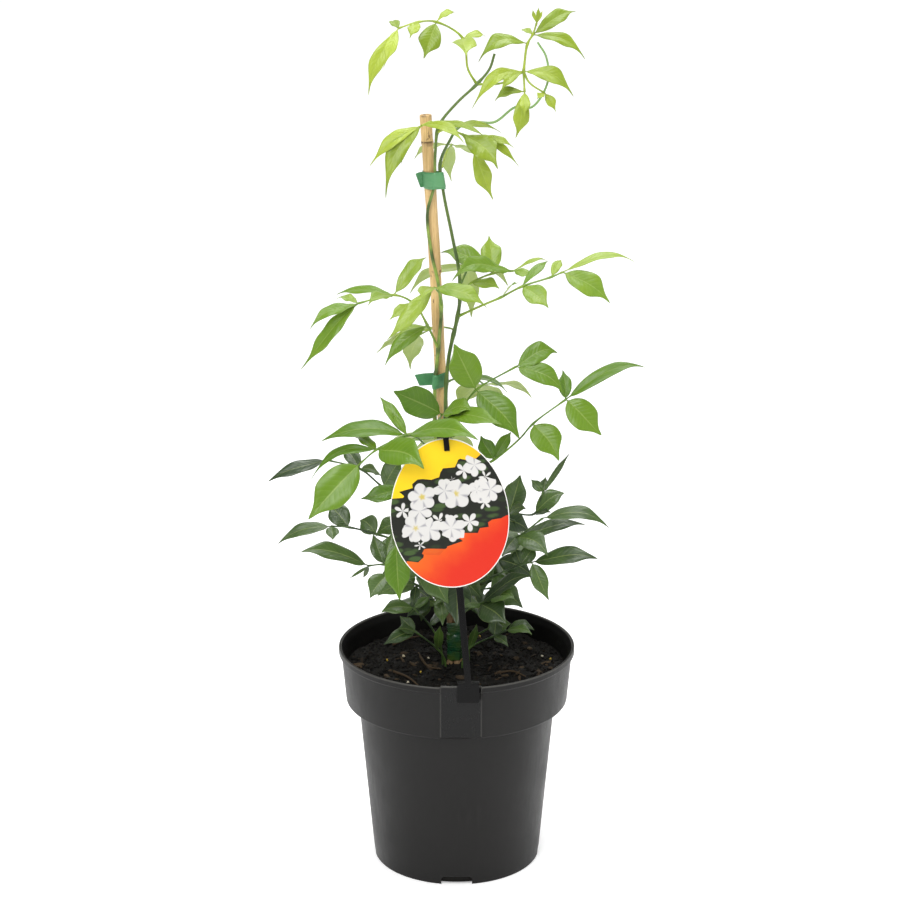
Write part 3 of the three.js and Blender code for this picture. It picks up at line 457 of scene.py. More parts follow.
class Form:
    """Closed grids collected for one mesh, each with its points, faces, place on the pattern and tint."""

    def __init__(self):
        self.points, self.quads, self.triangles, self.uv = [], [], [], []
        self.tint, self.under, self.slots, self.count = [], [], [], 0

    def rings(self, rings, start, end, uv=None, **marks):
        """Rings of points (stations, around, 3), closed at both ends by the points start and end."""
        stations, around, _ = rings.shape
        ring = np.arange(around)
        after = np.roll(ring, -1)
        last = (stations - 1) * around
        pole, tip = stations * around, stations * around + 1
        fans = np.vstack([
            np.stack([np.full(around, pole), ring, after], axis=1),
            np.stack([np.full(around, tip), last + after, last + ring], axis=1),
        ])
        points = np.vstack([rings.reshape(-1, 3), start, end])
        if uv is not None:
            flat = uv.reshape(-1, 2)
            uv = np.vstack([flat, flat[:around].mean(axis=0), flat[-around:].mean(axis=0)])
        self.add(points, quads(stations, around), fans, uv, **marks)

    def add(self, points, four, three, uv=None, tint=0.5, under=0.0, slot=0):
        """Any faces, with the tint and the underside mark of one value or of one for each point."""
        self.points.append(points)
        self.quads.append(np.asarray(four, int).reshape(-1, 4) + self.count)
        self.triangles.append(np.asarray(three, int).reshape(-1, 3) + self.count)
        self.uv.append(np.zeros((len(points), 2)) if uv is None else uv)
        for kept, value in ((self.tint, tint), (self.under, under)):
            kept.append(np.resize(np.asarray(value, float).ravel(), len(points)))
        self.slots.append((len(self.quads[-1]), len(self.triangles[-1]), slot))
        self.count += len(points)

    def mesh_object(self, name, materials, smooth=True):
        """The collected grids as one object at the origin, in metres."""
        mesh = bpy.data.meshes.new(name)
        faces = np.vstack(self.quads).tolist() + np.vstack(self.triangles).tolist()
        mesh.from_pydata((np.vstack(self.points) * MM).tolist(), [], faces)
        slots = [np.full(counts[kind], counts[2]) for kind in (0, 1) for counts in self.slots]
        mesh.polygons.foreach_set("material_index", np.concatenate(slots).astype(np.int32))
        mesh.polygons.foreach_set("use_smooth", np.full(len(faces), smooth))
        corners = np.empty(len(mesh.loops), np.int32)
        mesh.loops.foreach_get("vertex_index", corners)
        layer = mesh.uv_layers.new(name="UVMap")
        layer.data.foreach_set("uv", np.vstack(self.uv)[corners].astype(np.float32).ravel())
        for mark, values in (("tint", self.tint), ("under", self.under)):
            layer = mesh.attributes.new(mark, "FLOAT", "POINT")
            layer.data.foreach_set("value", np.concatenate(values).astype(np.float32))
        for material in materials:
            mesh.materials.append(material)
        mesh.update()
        made = bpy.data.objects.new(name, mesh)
        bpy.context.collection.objects.link(made)
        return made

    def finish(self, name, materials, slot, *nodes, smooth=True):
        """The mesh as a finished piece that stands for the nodes."""
        finish_piece(self.mesh_object(name, materials, smooth), slot, *nodes)


def tube(form, path, radius, around=10, tint=0.5, slot=0, ridges=0.0):
    """A closed round rod: circles of the given radius square to the path, with low ridges along it."""
    turn = turns(around)
    reach = np.broadcast_to(radius, len(path))[:, None] * (1 + ridges * np.cos(turn * 5)[None, :])
    rings = rings_along(path, reach, *carried_frames(path))
    uv = np.stack(np.broadcast_arrays(turn[None, :] / (2 * math.pi), run(path)[:, None] * 0.01), axis=-1)
    form.rings(rings, path[0], path[-1], uv, tint=tint, slot=slot)


def lattice(x, y, seed):
    """A repeatable number from 0 to 1 for each whole x, y: the fraction of a large sine."""
    value = np.sin(x * 127.1 + y * 311.7 + seed * 74.7) * 43758.5453
    return value - np.floor(value)


def crumble(x, y, seed):
    """Smooth noise from -1 to 1: lattice numbers blended over each cell by 3t^2 - 2t^3."""
    left, low = np.floor(x), np.floor(y)
    s, t = smoothstep(0, 1, x - left), smoothstep(0, 1, y - low)
    bottom = lattice(left, low, seed) * (1 - s) + lattice(left + 1, low, seed) * s
    top = lattice(left, low + 1, seed) * (1 - s) + lattice(left + 1, low + 1, seed) * s
    return 2 * (bottom * (1 - t) + top * t) - 1


def finish_piece(piece, slot, *nodes):
    """The piece rides on the whole body and stands for the nodes; the slot is not used."""
    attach(piece, "root")
    if nodes:
        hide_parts(*nodes)


# Material helpers
def srgb(text):
    """A colour written as six hexadecimal digits, as linear red, green, blue and alpha."""
    parts = [int(text[i:i + 2], 16) / 255 for i in (0, 2, 4)]
    return tuple(p / 12.92 if p <= 0.04045 else ((p + 0.055) / 1.055) ** 2.4 for p in parts) + (1.0,)


def colour(name, description, text):
    """A colour setting whose default is given by six hexadecimal digits."""
    return FloatVectorProperty(
        name=name, description=description, subtype="COLOR", size=4, min=0, max=1, default=srgb(text))


def amount(name, description, default, **unit):
    """A setting that is a number from 0 up."""
    return FloatProperty(name=name, description=description, default=default, min=0, **unit)


def number(name, description, default, most):
    """A setting that is a whole number from 1 up."""
    return IntProperty(name=name, description=description, default=default, min=1, max=most)


class Nodes:
    """Short ways to add and join the nodes of a material or of a node group."""

    def __init__(self, tree):
        self.tree = tree

    def add(self, kind, feeds=None, **settings):
        node = self.tree.nodes.new("ShaderNode" + kind)
        for name, value in settings.items():
            setattr(node, name, value)
        for socket, value in (feeds or {}).items():
            self.feed(node.inputs[socket], value)
        return node

    def feed(self, socket, value):
        if isinstance(value, bpy.types.NodeSocket):
            self.tree.links.new(value, socket)
        else:
            socket.default_value = value

    def math(self, operation, a, b=0.0, c=0.0):
        return self.add("Math", {0: a, 1: b, 2: c}, operation=operation).outputs[0]

    def plus(self, a, b):
        return self.math("ADD", a, b)

    def minus(self, a, b):
        return self.math("SUBTRACT", a, b)

    def times(self, a, b):
        return self.math("MULTIPLY", a, b)

    def line(self, a, slope, start):
        """Start plus the slope times a."""
        return self.math("MULTIPLY_ADD", a, slope, start)

    def size(self, a):
        return self.math("ABSOLUTE", a)

    def mix(self, factor, a, b):
        return self.add("Mix", {0: factor, 6: a, 7: b}, data_type="RGBA").outputs[2]

    def step(self, value, low, high, bottom=0.0, top=1.0):
        """A smooth step of the value, from bottom at low to top at high."""
        feeds = {"Value": value, "From Min": low, "From Max": high, "To Min": bottom, "To Max": top}
        return self.add("MapRange", feeds, interpolation_type="SMOOTHSTEP").outputs[0]

    def fall(self, value, low, high):
        """A smooth step down, from 1 at low to 0 at high."""
        return self.step(value, low, high, 1.0, 0.0)

    def noise(self, vector, scale, detail=3.0, rough=0.55):
        feeds = {"Vector": vector, "Scale": scale, "Detail": detail, "Roughness": rough}
        return self.add("TexNoise", feeds).outputs["Fac"]

    def stretched(self, vector, scale):
        return self.add("Mapping", {"Vector": vector, "Scale": scale}).outputs[0]

    def place(self):
        return self.add("TexCoord").outputs["Object"]

    def pattern(self):
        return self.add("UVMap", uv_map="UVMap").outputs[0]

    def mark(self, name):
        return self.add("Attribute", attribute_name=name).outputs["Fac"]

    def split(self, vector):
        return self.add("SeparateXYZ", {0: vector}).outputs

    def bump(self, height, strength, distance):
        return self.add("Bump", {"Height": height, "Strength": strength, "Distance": distance}).outputs[0]

    def dress(self, base, rough, *bump):
        """Joins a colour and a roughness to the material's shader, and a bump of a height, with its
        strength and distance."""
        shader = self.tree.nodes["Principled BSDF"].inputs
        self.feed(shader["Base Color"], base)
        self.feed(shader["Roughness"], rough)
        if bump:
            self.feed(shader["Normal"], self.bump(*bump))


def new_material(name, **constants):
    """A material with one shader, its constant sockets set, and the helper for its nodes."""
    material = bpy.data.materials.new(name)
    material.use_nodes = True
    shader = material.node_tree.nodes["Principled BSDF"]
    for socket, value in constants.items():
        shader.inputs[socket.replace("_", " ")].default_value = value
    return material, Nodes(material.node_tree)


def new_group(name, takes):
    """A node group with the named inputs, which puts out a colour, a roughness and a height."""
    tree = bpy.data.node_groups.new(name, "ShaderNodeTree")
    gives = {"Colour": "Color", "Roughness": "Float", "Height": "Float"}
    for direction, sockets in (("INPUT", takes), ("OUTPUT", gives)):
        for socket, kind in sockets.items():
            tree.interface.new_socket(socket, in_out=direction, socket_type="NodeSocket" + kind)
    entry, leave = tree.nodes.new("NodeGroupInput"), tree.nodes.new("NodeGroupOutput")
    return tree, Nodes(tree), entry.outputs, leave.inputs


def grain_group():
    """Moulding grain and handling marks of plastic: broad patches, fine grain, and faint streaks."""
    takes = {"Colour": "Color", "Worn colour": "Color", "Grain": "Float"}
    tree, n, given, result = new_group("moulded_grain", takes)
    place = n.place()
    patches = n.noise(place, 22, 4)
    streaks = n.noise(n.stretched(place, (60, 60, 6)), 6, 4)
    fine = n.noise(place, given["Grain"], 2)
    worn = n.times(n.step(patches, 0.42, 0.75), n.step(streaks, 0.4, 0.8))
    n.feed(result["Colour"], n.mix(worn, given["Colour"], given["Worn colour"]))
    n.feed(result["Roughness"], n.step(n.plus(patches, n.times(streaks, 0.5)), 0.4, 1.1, 0.34, 0.52))
    n.feed(result["Height"], n.plus(fine, n.times(streaks, 0.4)))
    return tree


def blade_group():
    """A leaf blade: a pale midrib and slanting side veins on its pattern, a paler underside, patches
    over the plant, and each leaflet's own tint."""
    takes = {"Blade": "Color", "Deep": "Color", "Rib": "Color", "Underside": "Color"}
    tree, n, given, result = new_group("leaf_blade", takes)
    split = n.split(n.pattern())
    along, across = split[0], split[1]
    edge = n.size(n.line(across, 2.0, -1.0))
    rib = n.fall(edge, 0.015, 0.07)
    slant = n.minus(n.times(along, 11.0), n.times(edge, 2.1))
    ripple = n.size(n.line(n.math("FRACT", slant), 2.0, -1.0))
    inside = n.fall(edge, 0.82, 1.0)
    vein = n.times(n.step(ripple, 0.84, 1.0), inside)
    place = n.place()
    patches = n.noise(place, 70, 3)
    speckle = n.noise(place, 900, 2)
    tint = n.mark("tint")
    under = n.step(n.mark("under"), 0.45, 0.55)
    deepness = n.plus(n.times(patches, 0.6), n.times(tint, 0.75))
    body = n.mix(n.step(deepness, 0.35, 1.05), given["Blade"], given["Deep"])
    for factor in (n.times(vein, 0.07), n.times(rib, 0.22), n.times(n.step(edge, 0.955, 1.0), 0.25)):
        body = n.mix(factor, body, given["Rib"])
    back = n.mix(n.times(rib, 0.5), given["Underside"], given["Rib"])
    n.feed(result["Colour"], n.mix(under, body, back))
    sheen = n.step(n.plus(patches, n.times(speckle, 0.3)), 0.4, 0.9, 0.3, 0.46)
    n.feed(result["Roughness"], n.plus(sheen, n.times(under, 0.22)))
    quilt = n.times(n.minus(1.0, n.times(ripple, ripple)), inside)
    height = n.minus(n.times(quilt, 0.55), n.times(rib, 0.8))
    n.feed(result["Height"], n.plus(height, n.times(speckle, 0.12)))
    return tree


def wood_group():
    """Fibres along Z with blotches: for the cane and the woody foot of the stems."""
    takes = {"Pale": "Color", "Dark": "Color", "Fibres": "Float"}
    tree, n, given, result = new_group("wood_fibres", takes)
    place = n.place()
    fibres = n.noise(n.stretched(place, (1, 1, 0.03)), given["Fibres"], 4, 0.65)
    blotches = n.noise(n.stretched(place, (1, 1, 0.35)), 120, 4, 0.6)
    mixed = n.plus(n.times(fibres, 0.65), n.times(blotches, 0.45))
    n.feed(result["Colour"], n.mix(n.step(mixed, 0.42, 0.78), given["Pale"], given["Dark"]))
    n.feed(result["Roughness"], n.step(blotches, 0.3, 0.7, 0.5, 0.72))
    n.feed(result["Height"], fibres)
    return tree


def use_group(nodes, name, feeds):
    """The outputs of the node group of that name, which is built once."""
    makers = {"moulded_grain": grain_group, "leaf_blade": blade_group, "wood_fibres": wood_group}
    tree = bpy.data.node_groups.get(name) or makers[name]()
    return nodes.add("Group", feeds, node_tree=tree).outputs


def holder_material(settings):
    """The holder's moulded plastic: the grain group's colour and gloss, with a fine bump."""
    material, n = new_material("black_holder_plastic", Specular_IOR_Level=0.15)
    feeds = {"Colour": settings.holder, "Worn colour": settings.holder_worn, "Grain": 2500}
    made = use_group(n, "moulded_grain", feeds)
    n.dress(made["Colour"], made["Roughness"], made["Height"], 0.35, 0.0002)
    return material


def pot_material(settings):
    """Satin plastic, smoother inside the pressed panel at the front and darker there by painted shade that
    stands in for the panel's dark reflection, with painted highlight lines along the panel's two upright
    edges and along the top of the rim."""
    material, n = new_material("satin_black_plastic", Specular_IOR_Level=0.22)
    feeds = {"Colour": settings.black, "Worn colour": settings.worn, "Grain": 1800}
    made = use_group(n, "moulded_grain", feeds)
    spot = n.split(n.place())
    aside = n.size(n.minus(spot[0], PANEL["x"] * MM))
    above = n.step(spot[2], (COLLAR["height"] + 1) * MM, (COLLAR["height"] + 2) * MM)
    front = n.times(above, n.fall(spot[1], -(PANEL["front"] + 1) * MM, -PANEL["front"] * MM))
    half = PANEL["half"] * MM
    inside = n.times(front, n.fall(aside, half - 0.5 * MM, half + 0.1 * MM))
    # Painted highlight: pale lines along the panel's upright edges and along the top of the rim stand in
    # for light caught by those edges.
    edge = n.times(n.step(aside, half - 0.7 * MM, half), n.fall(aside, half + 0.3 * MM, half + MM))
    rim = n.step(spot[2], (RIM["height"] - 1.6) * MM, (RIM["height"] - 0.4) * MM)
    painted_highlight = n.math("MAXIMUM", n.times(edge, n.times(front, 0.45)), rim)
    # Painted shade: the panel's darker colour stands in for its dark reflection; its lower roughness below
    # is real.
    plain = n.mix(inside, made["Colour"], settings.panel)
    rough = n.line(inside, -0.16, made["Roughness"])
    n.dress(n.mix(painted_highlight, plain, settings.painted_highlight), rough, made["Height"], 0.35, 0.0003)
    return material


def leaf_material(name, blade, deep, rib, underside, coat):
    """A glossy leaf blade in its own greens."""
    material, n = new_material(name, Coat_Weight=coat, Coat_Roughness=0.25, IOR=1.42)
    feeds = {"Blade": blade, "Deep": deep, "Rib": rib, "Underside": underside}
    made = use_group(n, "leaf_blade", feeds)
    n.dress(made["Colour"], made["Roughness"], made["Height"], 0.5, 0.0004)
    return material


def stalk_material(name, pale, deep):
    """A green stalk, darker in patches, with fine lines."""
    material, n = new_material(name)
    place = n.place()
    patches = n.noise(place, 55, 3)
    lines = n.noise(n.stretched(place, (1, 1, 0.3)), 900, 2)
    skin = n.mix(n.step(patches, 0.35, 0.65), pale, deep)
    n.dress(skin, n.step(lines, 0.3, 0.7, 0.38, 0.5), lines, 0.3, 0.0002)
    return material


def stem_material(name, settings, green, shoot):
    """A green stem, woody and brown towards its foot and pale where the tint marks its young end."""
    material, n = new_material(name)
    place = n.place()
    feeds = {"Pale": settings.wood_pale, "Dark": settings.wood_dark, "Fibres": 1500}
    wood = use_group(n, "wood_fibres", feeds)
    height = n.split(place)[2]
    patches = n.noise(place, 60, 4)
    turned = n.plus(height, n.times(patches, 0.06))
    woody = n.fall(turned, 0.25, 0.3)
    skin = n.mix(n.step(patches, 0.35, 0.68), green, settings.deep_green)
    skin = n.mix(n.step(n.mark("tint"), 0.74, 0.9), skin, shoot)
    n.dress(n.mix(woody, skin, wood["Colour"]), n.line(woody, 0.25, 0.42), wood["Height"], 0.5, 0.0004)
    return material


def cane_material(settings):
    """Dry cane: fibres along it, with dark scars at its joints and its cut end."""
    material, n = new_material("dry_cane")
    place = n.place()
    feeds = {"Pale": settings.cane_pale, "Dark": settings.cane_deep, "Fibres": 900}
    wood = use_group(n, "wood_fibres", feeds)
    scar = n.step(n.mark("tint"), 0.5, 0.95)
    flecks = n.noise(n.stretched(place, (1, 1, 0.5)), 260, 3)
    patchy = n.times(scar, n.step(flecks, 0.38, 0.6))
    marked = n.math("MAXIMUM", patchy, n.step(flecks, 0.66, 0.72, 0.0, 0.75))
    skin = n.mix(marked, wood["Colour"], settings.cane_scar)
    n.dress(skin, wood["Roughness"], n.minus(wood["Height"], marked), 0.45, 0.0006)
    return material


def tape_material(name, base, deep, low=0.42, high=0.6, coat=0.1):
    """Soft garden tape: a plain colour with creases across it and a gloss that varies."""
    material, n = new_material(name, Coat_Weight=coat)
    place = n.place()
    creases = n.noise(n.stretched(place, (1, 1, 5)), 110, 4, 0.6)
    broad = n.noise(place, 90, 2)
    skin = n.mix(n.step(broad, 0.35, 0.7), base, deep)
    n.dress(skin, n.step(creases, 0.3, 0.7, low, high), creases, 0.55, 0.0009)
    return material


def soil_material(settings):
    """Potting mix: near-black crumbs, brown fibres and pale dust, each lump with its own tint."""
    material, n = new_material("potting_mix", Specular_IOR_Level=0.2)
    place = n.place()
    crumbs = n.noise(place, 420, 5, 0.7)
    dust = n.noise(place, 1600, 3, 0.7)
    tint = n.mark("tint")
    dark = n.mix(n.step(crumbs, 0.38, 0.66), settings.soil_dark, settings.soil_brown)
    lump = n.mix(n.step(tint, 0.62, 0.98), dark, settings.bark)
    dusty = n.mix(n.step(dust, 0.62, 0.8, 0.0, 0.35), lump, settings.bark)
    height = n.plus(crumbs, n.times(dust, 0.5))
    n.dress(dusty, n.step(crumbs, 0.3, 0.7, 0.72, 0.95), height, 0.8, 0.0012)
    return material


def prill_material(settings):
    """Coated feed prills: yellow ones, and whitish ones where the tint is high."""
    material, n = new_material("feed_prills")
    patches = n.noise(n.place(), 700, 3)
    coat = n.mix(n.step(n.mark("tint"), 0.45, 0.55), settings.prill, settings.prill_pale)
    soiled = n.mix(n.step(patches, 0.4, 0.8, 0.0, 0.5), coat, settings.bark)
    n.dress(soiled, n.step(patches, 0.3, 0.7, 0.35, 0.6))
    return material


def card_material(settings):
    """A printed card: a sunset field, a slanting bank of dark leaves across it with pale open blossoms
    over the leaves, and a plain white edge. All is worked out from the card's own pattern."""
    constants = {"Coat_Weight": 0.1, "Coat_Roughness": 0.15, "Specular_IOR_Level": 0.3}
    material, n = new_material("printed_card", **constants)
    pattern = n.stretched(n.pattern(), (1, CARD["height"] / CARD["width"], 1))
    split = n.split(pattern)
    across, up = split[0], split[1]
    cloud = n.line(n.noise(pattern, 4.0, 3), 0.3, -0.15)
    field = n.plus(n.line(across, -0.75, up), cloud)
    warm = n.mix(n.step(field, -0.3, 0.3), settings.card_red, settings.card_orange)
    warm = n.mix(n.step(field, 0.2, 0.75), warm, settings.card_yellow)
    turn = {"Rotation": (0, 0, -0.7), "Scale": (1.0, 2.3, 1.0)}
    turned = n.add("Mapping", {"Vector": pattern, **turn}).outputs[0]
    cells = n.add("TexVoronoi", {"Vector": turned, "Scale": 8.0, "Randomness": 1.0}).outputs
    back = n.add("Mapping", {"Vector": cells["Position"], **turn}, vector_type="TEXTURE").outputs[0]
    slant = card_slant(n, back)
    bank = n.times(n.step(slant, 0.06, 0.061), n.fall(slant, 0.66, 0.661))
    chance = n.split(cells["Color"])[1]
    greens = n.mix(n.step(chance, 0.1, 0.8), settings.card_shade, settings.card_leaf)
    greens = n.mix(n.step(cells["Distance"], 0.3, 0.55), greens, settings.card_shade)
    picture = n.mix(bank, warm, greens)
    layers = (3.9, (0.13, 0.31, 0)), (4.1, (0.52, 0.07, 0)), (4.3, (0.77, 0.66, 0)), (3.5, (0.4, 0.95, 0))
    for scale, shift in layers:
        picture = blossoms(n, settings, pattern, scale, shift, picture)
    white = n.step(n.mark("under"), 0.45, 0.55)
    grain = n.noise(n.place(), 1200, 2)
    n.dress(n.mix(white, picture, settings.card_white), n.step(grain, 0.3, 0.7, 0.3, 0.42))
    return material


def card_slant(n, point):
    """How far a point of the card's pattern lies above the slanting line under the bank of leaves."""
    split = n.split(point)
    return n.minus(split[1], n.line(split[0], 0.42, 0.13))


def blossoms(n, settings, pattern, scale, shift, picture):
    """Five-lobed open flowers, one in each cell of a jittered net whose middle lies in the bank of
    leaves: a point belongs to a flower when its distance from the cell's middle is less than a radius
    that swells five times round."""
    moved = n.add("Mapping", {"Vector": pattern, "Location": shift}).outputs[0]
    feeds = {"Vector": moved, "Scale": scale, "Randomness": 0.6, "Detail": 0.0}
    cell = n.add("TexVoronoi", feeds).outputs
    offset = n.add("VectorMath", {0: moved, 1: cell["Position"]}, operation="SUBTRACT").outputs[0]
    middle = n.add("VectorMath", {0: pattern, 1: offset}, operation="SUBTRACT").outputs[0]
    spot = n.split(middle)
    slant = card_slant(n, middle)
    where = n.times(n.step(slant, 0.14, 0.141), n.fall(slant, 0.6, 0.601))
    aside = n.line(spot[0], 2.0, -1.0)
    raised = n.line(spot[1], 2.0 * CARD["width"] / CARD["height"], -1.0)
    apart = n.line(aside, aside, n.times(raised, raised))
    where = n.times(where, n.fall(apart, 0.66, 0.661))
    parts = n.split(offset)
    angle = n.math("ARCTAN2", parts[1], parts[0])
    chance = n.split(cell["Color"])
    turned = n.line(chance[0], 3.0, n.times(angle, 2.5))
    lobes = n.size(n.math("COSINE", turned))
    radius = n.line(lobes, 0.036, n.line(chance[1], 0.02, 0.082))
    reach = n.add("VectorMath", {0: offset}, operation="LENGTH").outputs["Value"]
    share = n.math("DIVIDE", reach, radius)
    petal = n.times(n.fall(share, 0.95, 1.0), where)
    folds = n.times(n.step(lobes, 0.0, 0.6, 0.75, 0.0), n.step(share, 0.2, 0.8))
    tone = n.mix(n.step(share, 0.1, 0.32), settings.card_heart, settings.card_petal)
    return n.mix(petal, picture, n.mix(folds, tone, settings.card_fold))


def floor_material(settings):
    """The studio's pale floor, with a trace of unevenness, which gives off a little light."""
    white = (1, 1, 1, 1)
    material, n = new_material("studio_floor", Emission_Color=white, Emission_Strength=settings.glow)
    patches = n.noise(n.place(), 1.2, 2)
    shade = tuple(v * 0.97 for v in settings.floor)
    base = n.mix(n.step(patches, 0.3, 0.7, 0.0, 0.3), settings.floor, shade)
    n.dress(base, n.step(patches, 0.3, 0.7, 0.6, 0.7))
    return material


# Pot
def rounded(profile, radii, support=0.5, step=7.0):
    """A profile whose corners are arcs: each corner becomes a quadratic curve between points at its
    radius along both sides, with a point just outside the arc, and long straights are divided."""
    corners = np.asarray(profile, float)
    result = [corners[:1]]
    for before, corner, after, radius in zip(corners, corners[1:], corners[2:], radii):
        first, last = unit(before - corner), unit(after - corner)
        t = np.linspace(0, 1, 5)[:, None]
        arc = corner + first * radius * (1 - t) ** 2 + last * radius * t**2
        result += [[corner + first * (radius + support)], arc, [corner + last * (radius + support)]]
    points = np.vstack(result + [corners[-1:]])
    gaps = np.linalg.norm(np.diff(points, axis=0), axis=1)
    pieces = [
        start + (end - start) * np.linspace(0, 1, max(1, int(gap / step)), endpoint=False)[:, None]
        for start, end, gap in zip(points, points[1:], gaps)
    ]
    return np.vstack(pieces + [points[-1:]])


def panel_face(height):
    """How far the pressed panel is from the pot's axis: it leans outwards with the collar."""
    lean = (COLLAR["top"] - COLLAR["foot"]) / (RIM["height"] - COLLAR["height"])
    return COLLAR["foot"] - PANEL["recess"] + (height - COLLAR["height"]) * lean


def around_pot(profile, inset):
    """Rings about the pot's axis, one for each radius and height. Towards the front a column keeps its
    x, so that the panel's edges are upright, and the others share what is left of the circle by equal
    turns. Inside the panel the front is the nearer of the ring and the panel's plane, and at least a
    step behind the ring."""
    half, edge = PANEL["half"], PANEL["edge"]
    inner = np.linspace(-half, half, 17)
    x = PANEL["x"] + np.concatenate([[-half - 4, -half - edge], inner, [half + edge, half + 4]])[::-1]
    radius, height = profile[:, :1], profile[:, 1:]
    narrow = np.minimum(x[None, :], radius * 0.999)
    front = np.arcsin(np.clip(narrow / np.maximum(radius, 1e-6), -0.999, 0.999))
    small = radius < 2 * half
    even = np.linspace(0.45, -0.45, len(x))[None, :]
    front = np.where(small, even, front)
    rest = np.linspace(0, 1, POT_COLUMNS + 2)[None, 1:-1]
    back = front[:, -1:] + (front[:, :1] - 2 * math.pi - front[:, -1:]) * rest
    turn = np.hstack([front, back])
    tall = np.broadcast_to(height, turn.shape)
    points = np.stack([radius * np.sin(turn), -radius * np.cos(turn), tall], axis=-1)
    pressed = (np.abs(points[..., 0] - PANEL["x"]) <= half + 1e-6) & (points[..., 1] < 0)
    pressed &= (height > COLLAR["height"] + 0.3) & ~small
    plane = np.minimum(panel_face(height) - inset, -points[..., 1] - PANEL["step"])
    points[..., 1] = np.where(pressed, -plane, points[..., 1])
    return points


def pot_profile():
    """The pot's wall in radius and height: from the middle of its underside, up the outside, over the
    rim and down the inside to the middle of its floor."""
    shoulder = COLLAR["height"]
    bead = RIM["height"] - RIM["bead"]
    profile = [
        [0.5, 0], [BODY["foot"], 0], [BODY["top"], shoulder], [COLLAR["foot"], shoulder],
        [COLLAR["top"], bead], [RIM["radius"], bead + 1], [RIM["radius"], RIM["height"]],
        [RIM["radius"] - 2.2, RIM["height"]], [COLLAR["top"] - WALL, bead - 1],
        [COLLAR["foot"] - WALL, shoulder + WALL], [BODY["top"] - WALL, shoulder + WALL],
        [BODY["foot"] - WALL, WALL], [0.5, WALL],
    ]
    return rounded(profile, [1.2, 1.5, 1.2, 0.6, 0.7, 1.1, 0.8, 1.2, 0.8, 0.6, 0.8])


def make_pot():
    """The pot: its profile carried round the axis, with drainage notches cut round its foot."""
    profile = pot_profile()
    inside = np.arange(len(profile)) > np.argmax(profile[:, 1]) + 3
    form = Form()
    form.rings(around_pot(profile, np.where(inside, WALL, 0)[:, None]), [0, 0, 0], [0, 0, WALL])
    cutters = Form()
    for angle in turns(NOTCH["count"]):
        out = np.array([math.sin(angle), -math.cos(angle), 0])
        ends = [[BODY["foot"] - NOTCH["reach"]], [BODY["foot"] + NOTCH["reach"]]]
        path = out * np.array(ends) + [0, 0, -0.2]
        slab(cutters, path, NOTCH["width"], NOTCH["height"] * 2, NOTCH["corner"], [0, 0, 1])
    return cut_away(form.mesh_object("nursery_pot", []), cutters.mesh_object("notch_cutters", []))


def cut_away(piece, cutter):
    """The piece less the cutter, as a mesh of its own; the cutter is removed."""
    boolean = piece.modifiers.new("cut", "BOOLEAN")
    boolean.object, boolean.operation, boolean.solver = cutter, "DIFFERENCE", "MANIFOLD"
    evaluated = piece.evaluated_get(bpy.context.evaluated_depsgraph_get())
    mesh = bpy.data.meshes.new_from_object(evaluated)
    if not mesh.polygons:
        raise RuntimeError("The cut leaves nothing of " + piece.name)
    piece.modifiers.clear()
    piece.data = mesh
    bpy.data.objects.remove(cutter)
    return piece


def slab(form, path, width, thickness, corner, upward):
    """A bar with rounded corners: a rounded rectangle, width by thickness, carried along the path, with
    its ends drawn in over a corner's length. The rectangle is a superellipse: the sine and the cosine
    of the turn, each raised to a small power, times half the sides."""
    path = np.asarray(path, float)
    along = unit(path[-1] - path[0])
    up = unit(np.asarray(upward, float) - along * (np.asarray(upward, float) @ along))
    side = np.cross(along, up)
    drawn = np.array([[0.0, 0.0, 1.0], [0.25, 0.06, 0.62], [1.0, 0.4, 0.16], [2.0, 1.0, 0.0]])
    first = path[0] + along * (drawn[:, 1:2] * corner)
    last = path[-1] - along * (drawn[::-1, 1:2] * corner)
    middle = path[0] + (path[-1] - path[0]) * np.linspace(0.1, 0.9, 9)[:, None]
    spine = np.vstack([first, middle, last])
    shrink = np.concatenate([drawn[:, 2], np.zeros(len(middle)), drawn[::-1, 2]])[:, None] * corner
    turn = turns(32)
    wide = (width / 2 - shrink) * squared(np.cos(turn), 0.35)
    tall = (thickness / 2 - shrink) * squared(np.sin(turn), 0.35)
    rings = spine[:, None] + wide[..., None] * side + tall[..., None] * up
    form.rings(rings, spine[0], spine[-1])


# Potting mix
def soil_height(x, y):
    """The mound of the surface: a shallow dome, with low waves of sines across it."""
    dome = SOIL["mound"] * (1 - (x * x + y * y) / RIM["radius"] ** 2)
    waves = np.sin(x * 0.21 + 1) * np.cos(y * 0.17) + np.sin(x * 0.09 - y * 0.13)
    return SOIL["level"] + dome + SOIL["relief"] * waves


def make_soil_bed():
    """The mix: a ring grid over the surface, raised by noise of three sizes, closed by a wall and a
    floor that lie just inside the pot."""
    gap = WALL + GAP
    shoulder, bead = COLLAR["height"], RIM["height"] - RIM["bead"]
    lean = (COLLAR["top"] - COLLAR["foot"]) / (bead - shoulder)
    edge = COLLAR["foot"] - gap + (SOIL["level"] - shoulder) * lean
    side = [
        [20, gap], [BODY["foot"] - gap, gap], [BODY["top"] - gap, shoulder + 1.5],
        [COLLAR["foot"] - gap, shoulder + 1.6], [edge, SOIL["level"] - 3],
    ]
    across = np.linspace(edge - 0.2, 1.5, SOIL["rings"])
    profile = np.vstack([side, np.stack([across, np.full(SOIL["rings"], SOIL["level"])], axis=1)])
    rings = around_pot(profile, gap)
    top = rings[len(side):]
    x, y = top[..., 0], top[..., 1]
    lumps = crumble(x * 0.33, y * 0.33, 1) * 0.9 + crumble(x * 0.8, y * 0.8, 2) * 0.7
    lumps += crumble(x * 0.11, y * 0.11, 3) * 0.8
    inward = smoothstep(0, 6, edge - np.hypot(x, y))
    top[..., 2] = soil_height(x, y) + lumps * (0.35 + 0.65 * inward) - 1.2 * (1 - inward)
    form = Form()
    middle = soil_height(np.zeros(1), np.zeros(1))[0]
    form.rings(rings, [0, 0, gap], [0, 0, middle], tint=0.3)
    return form


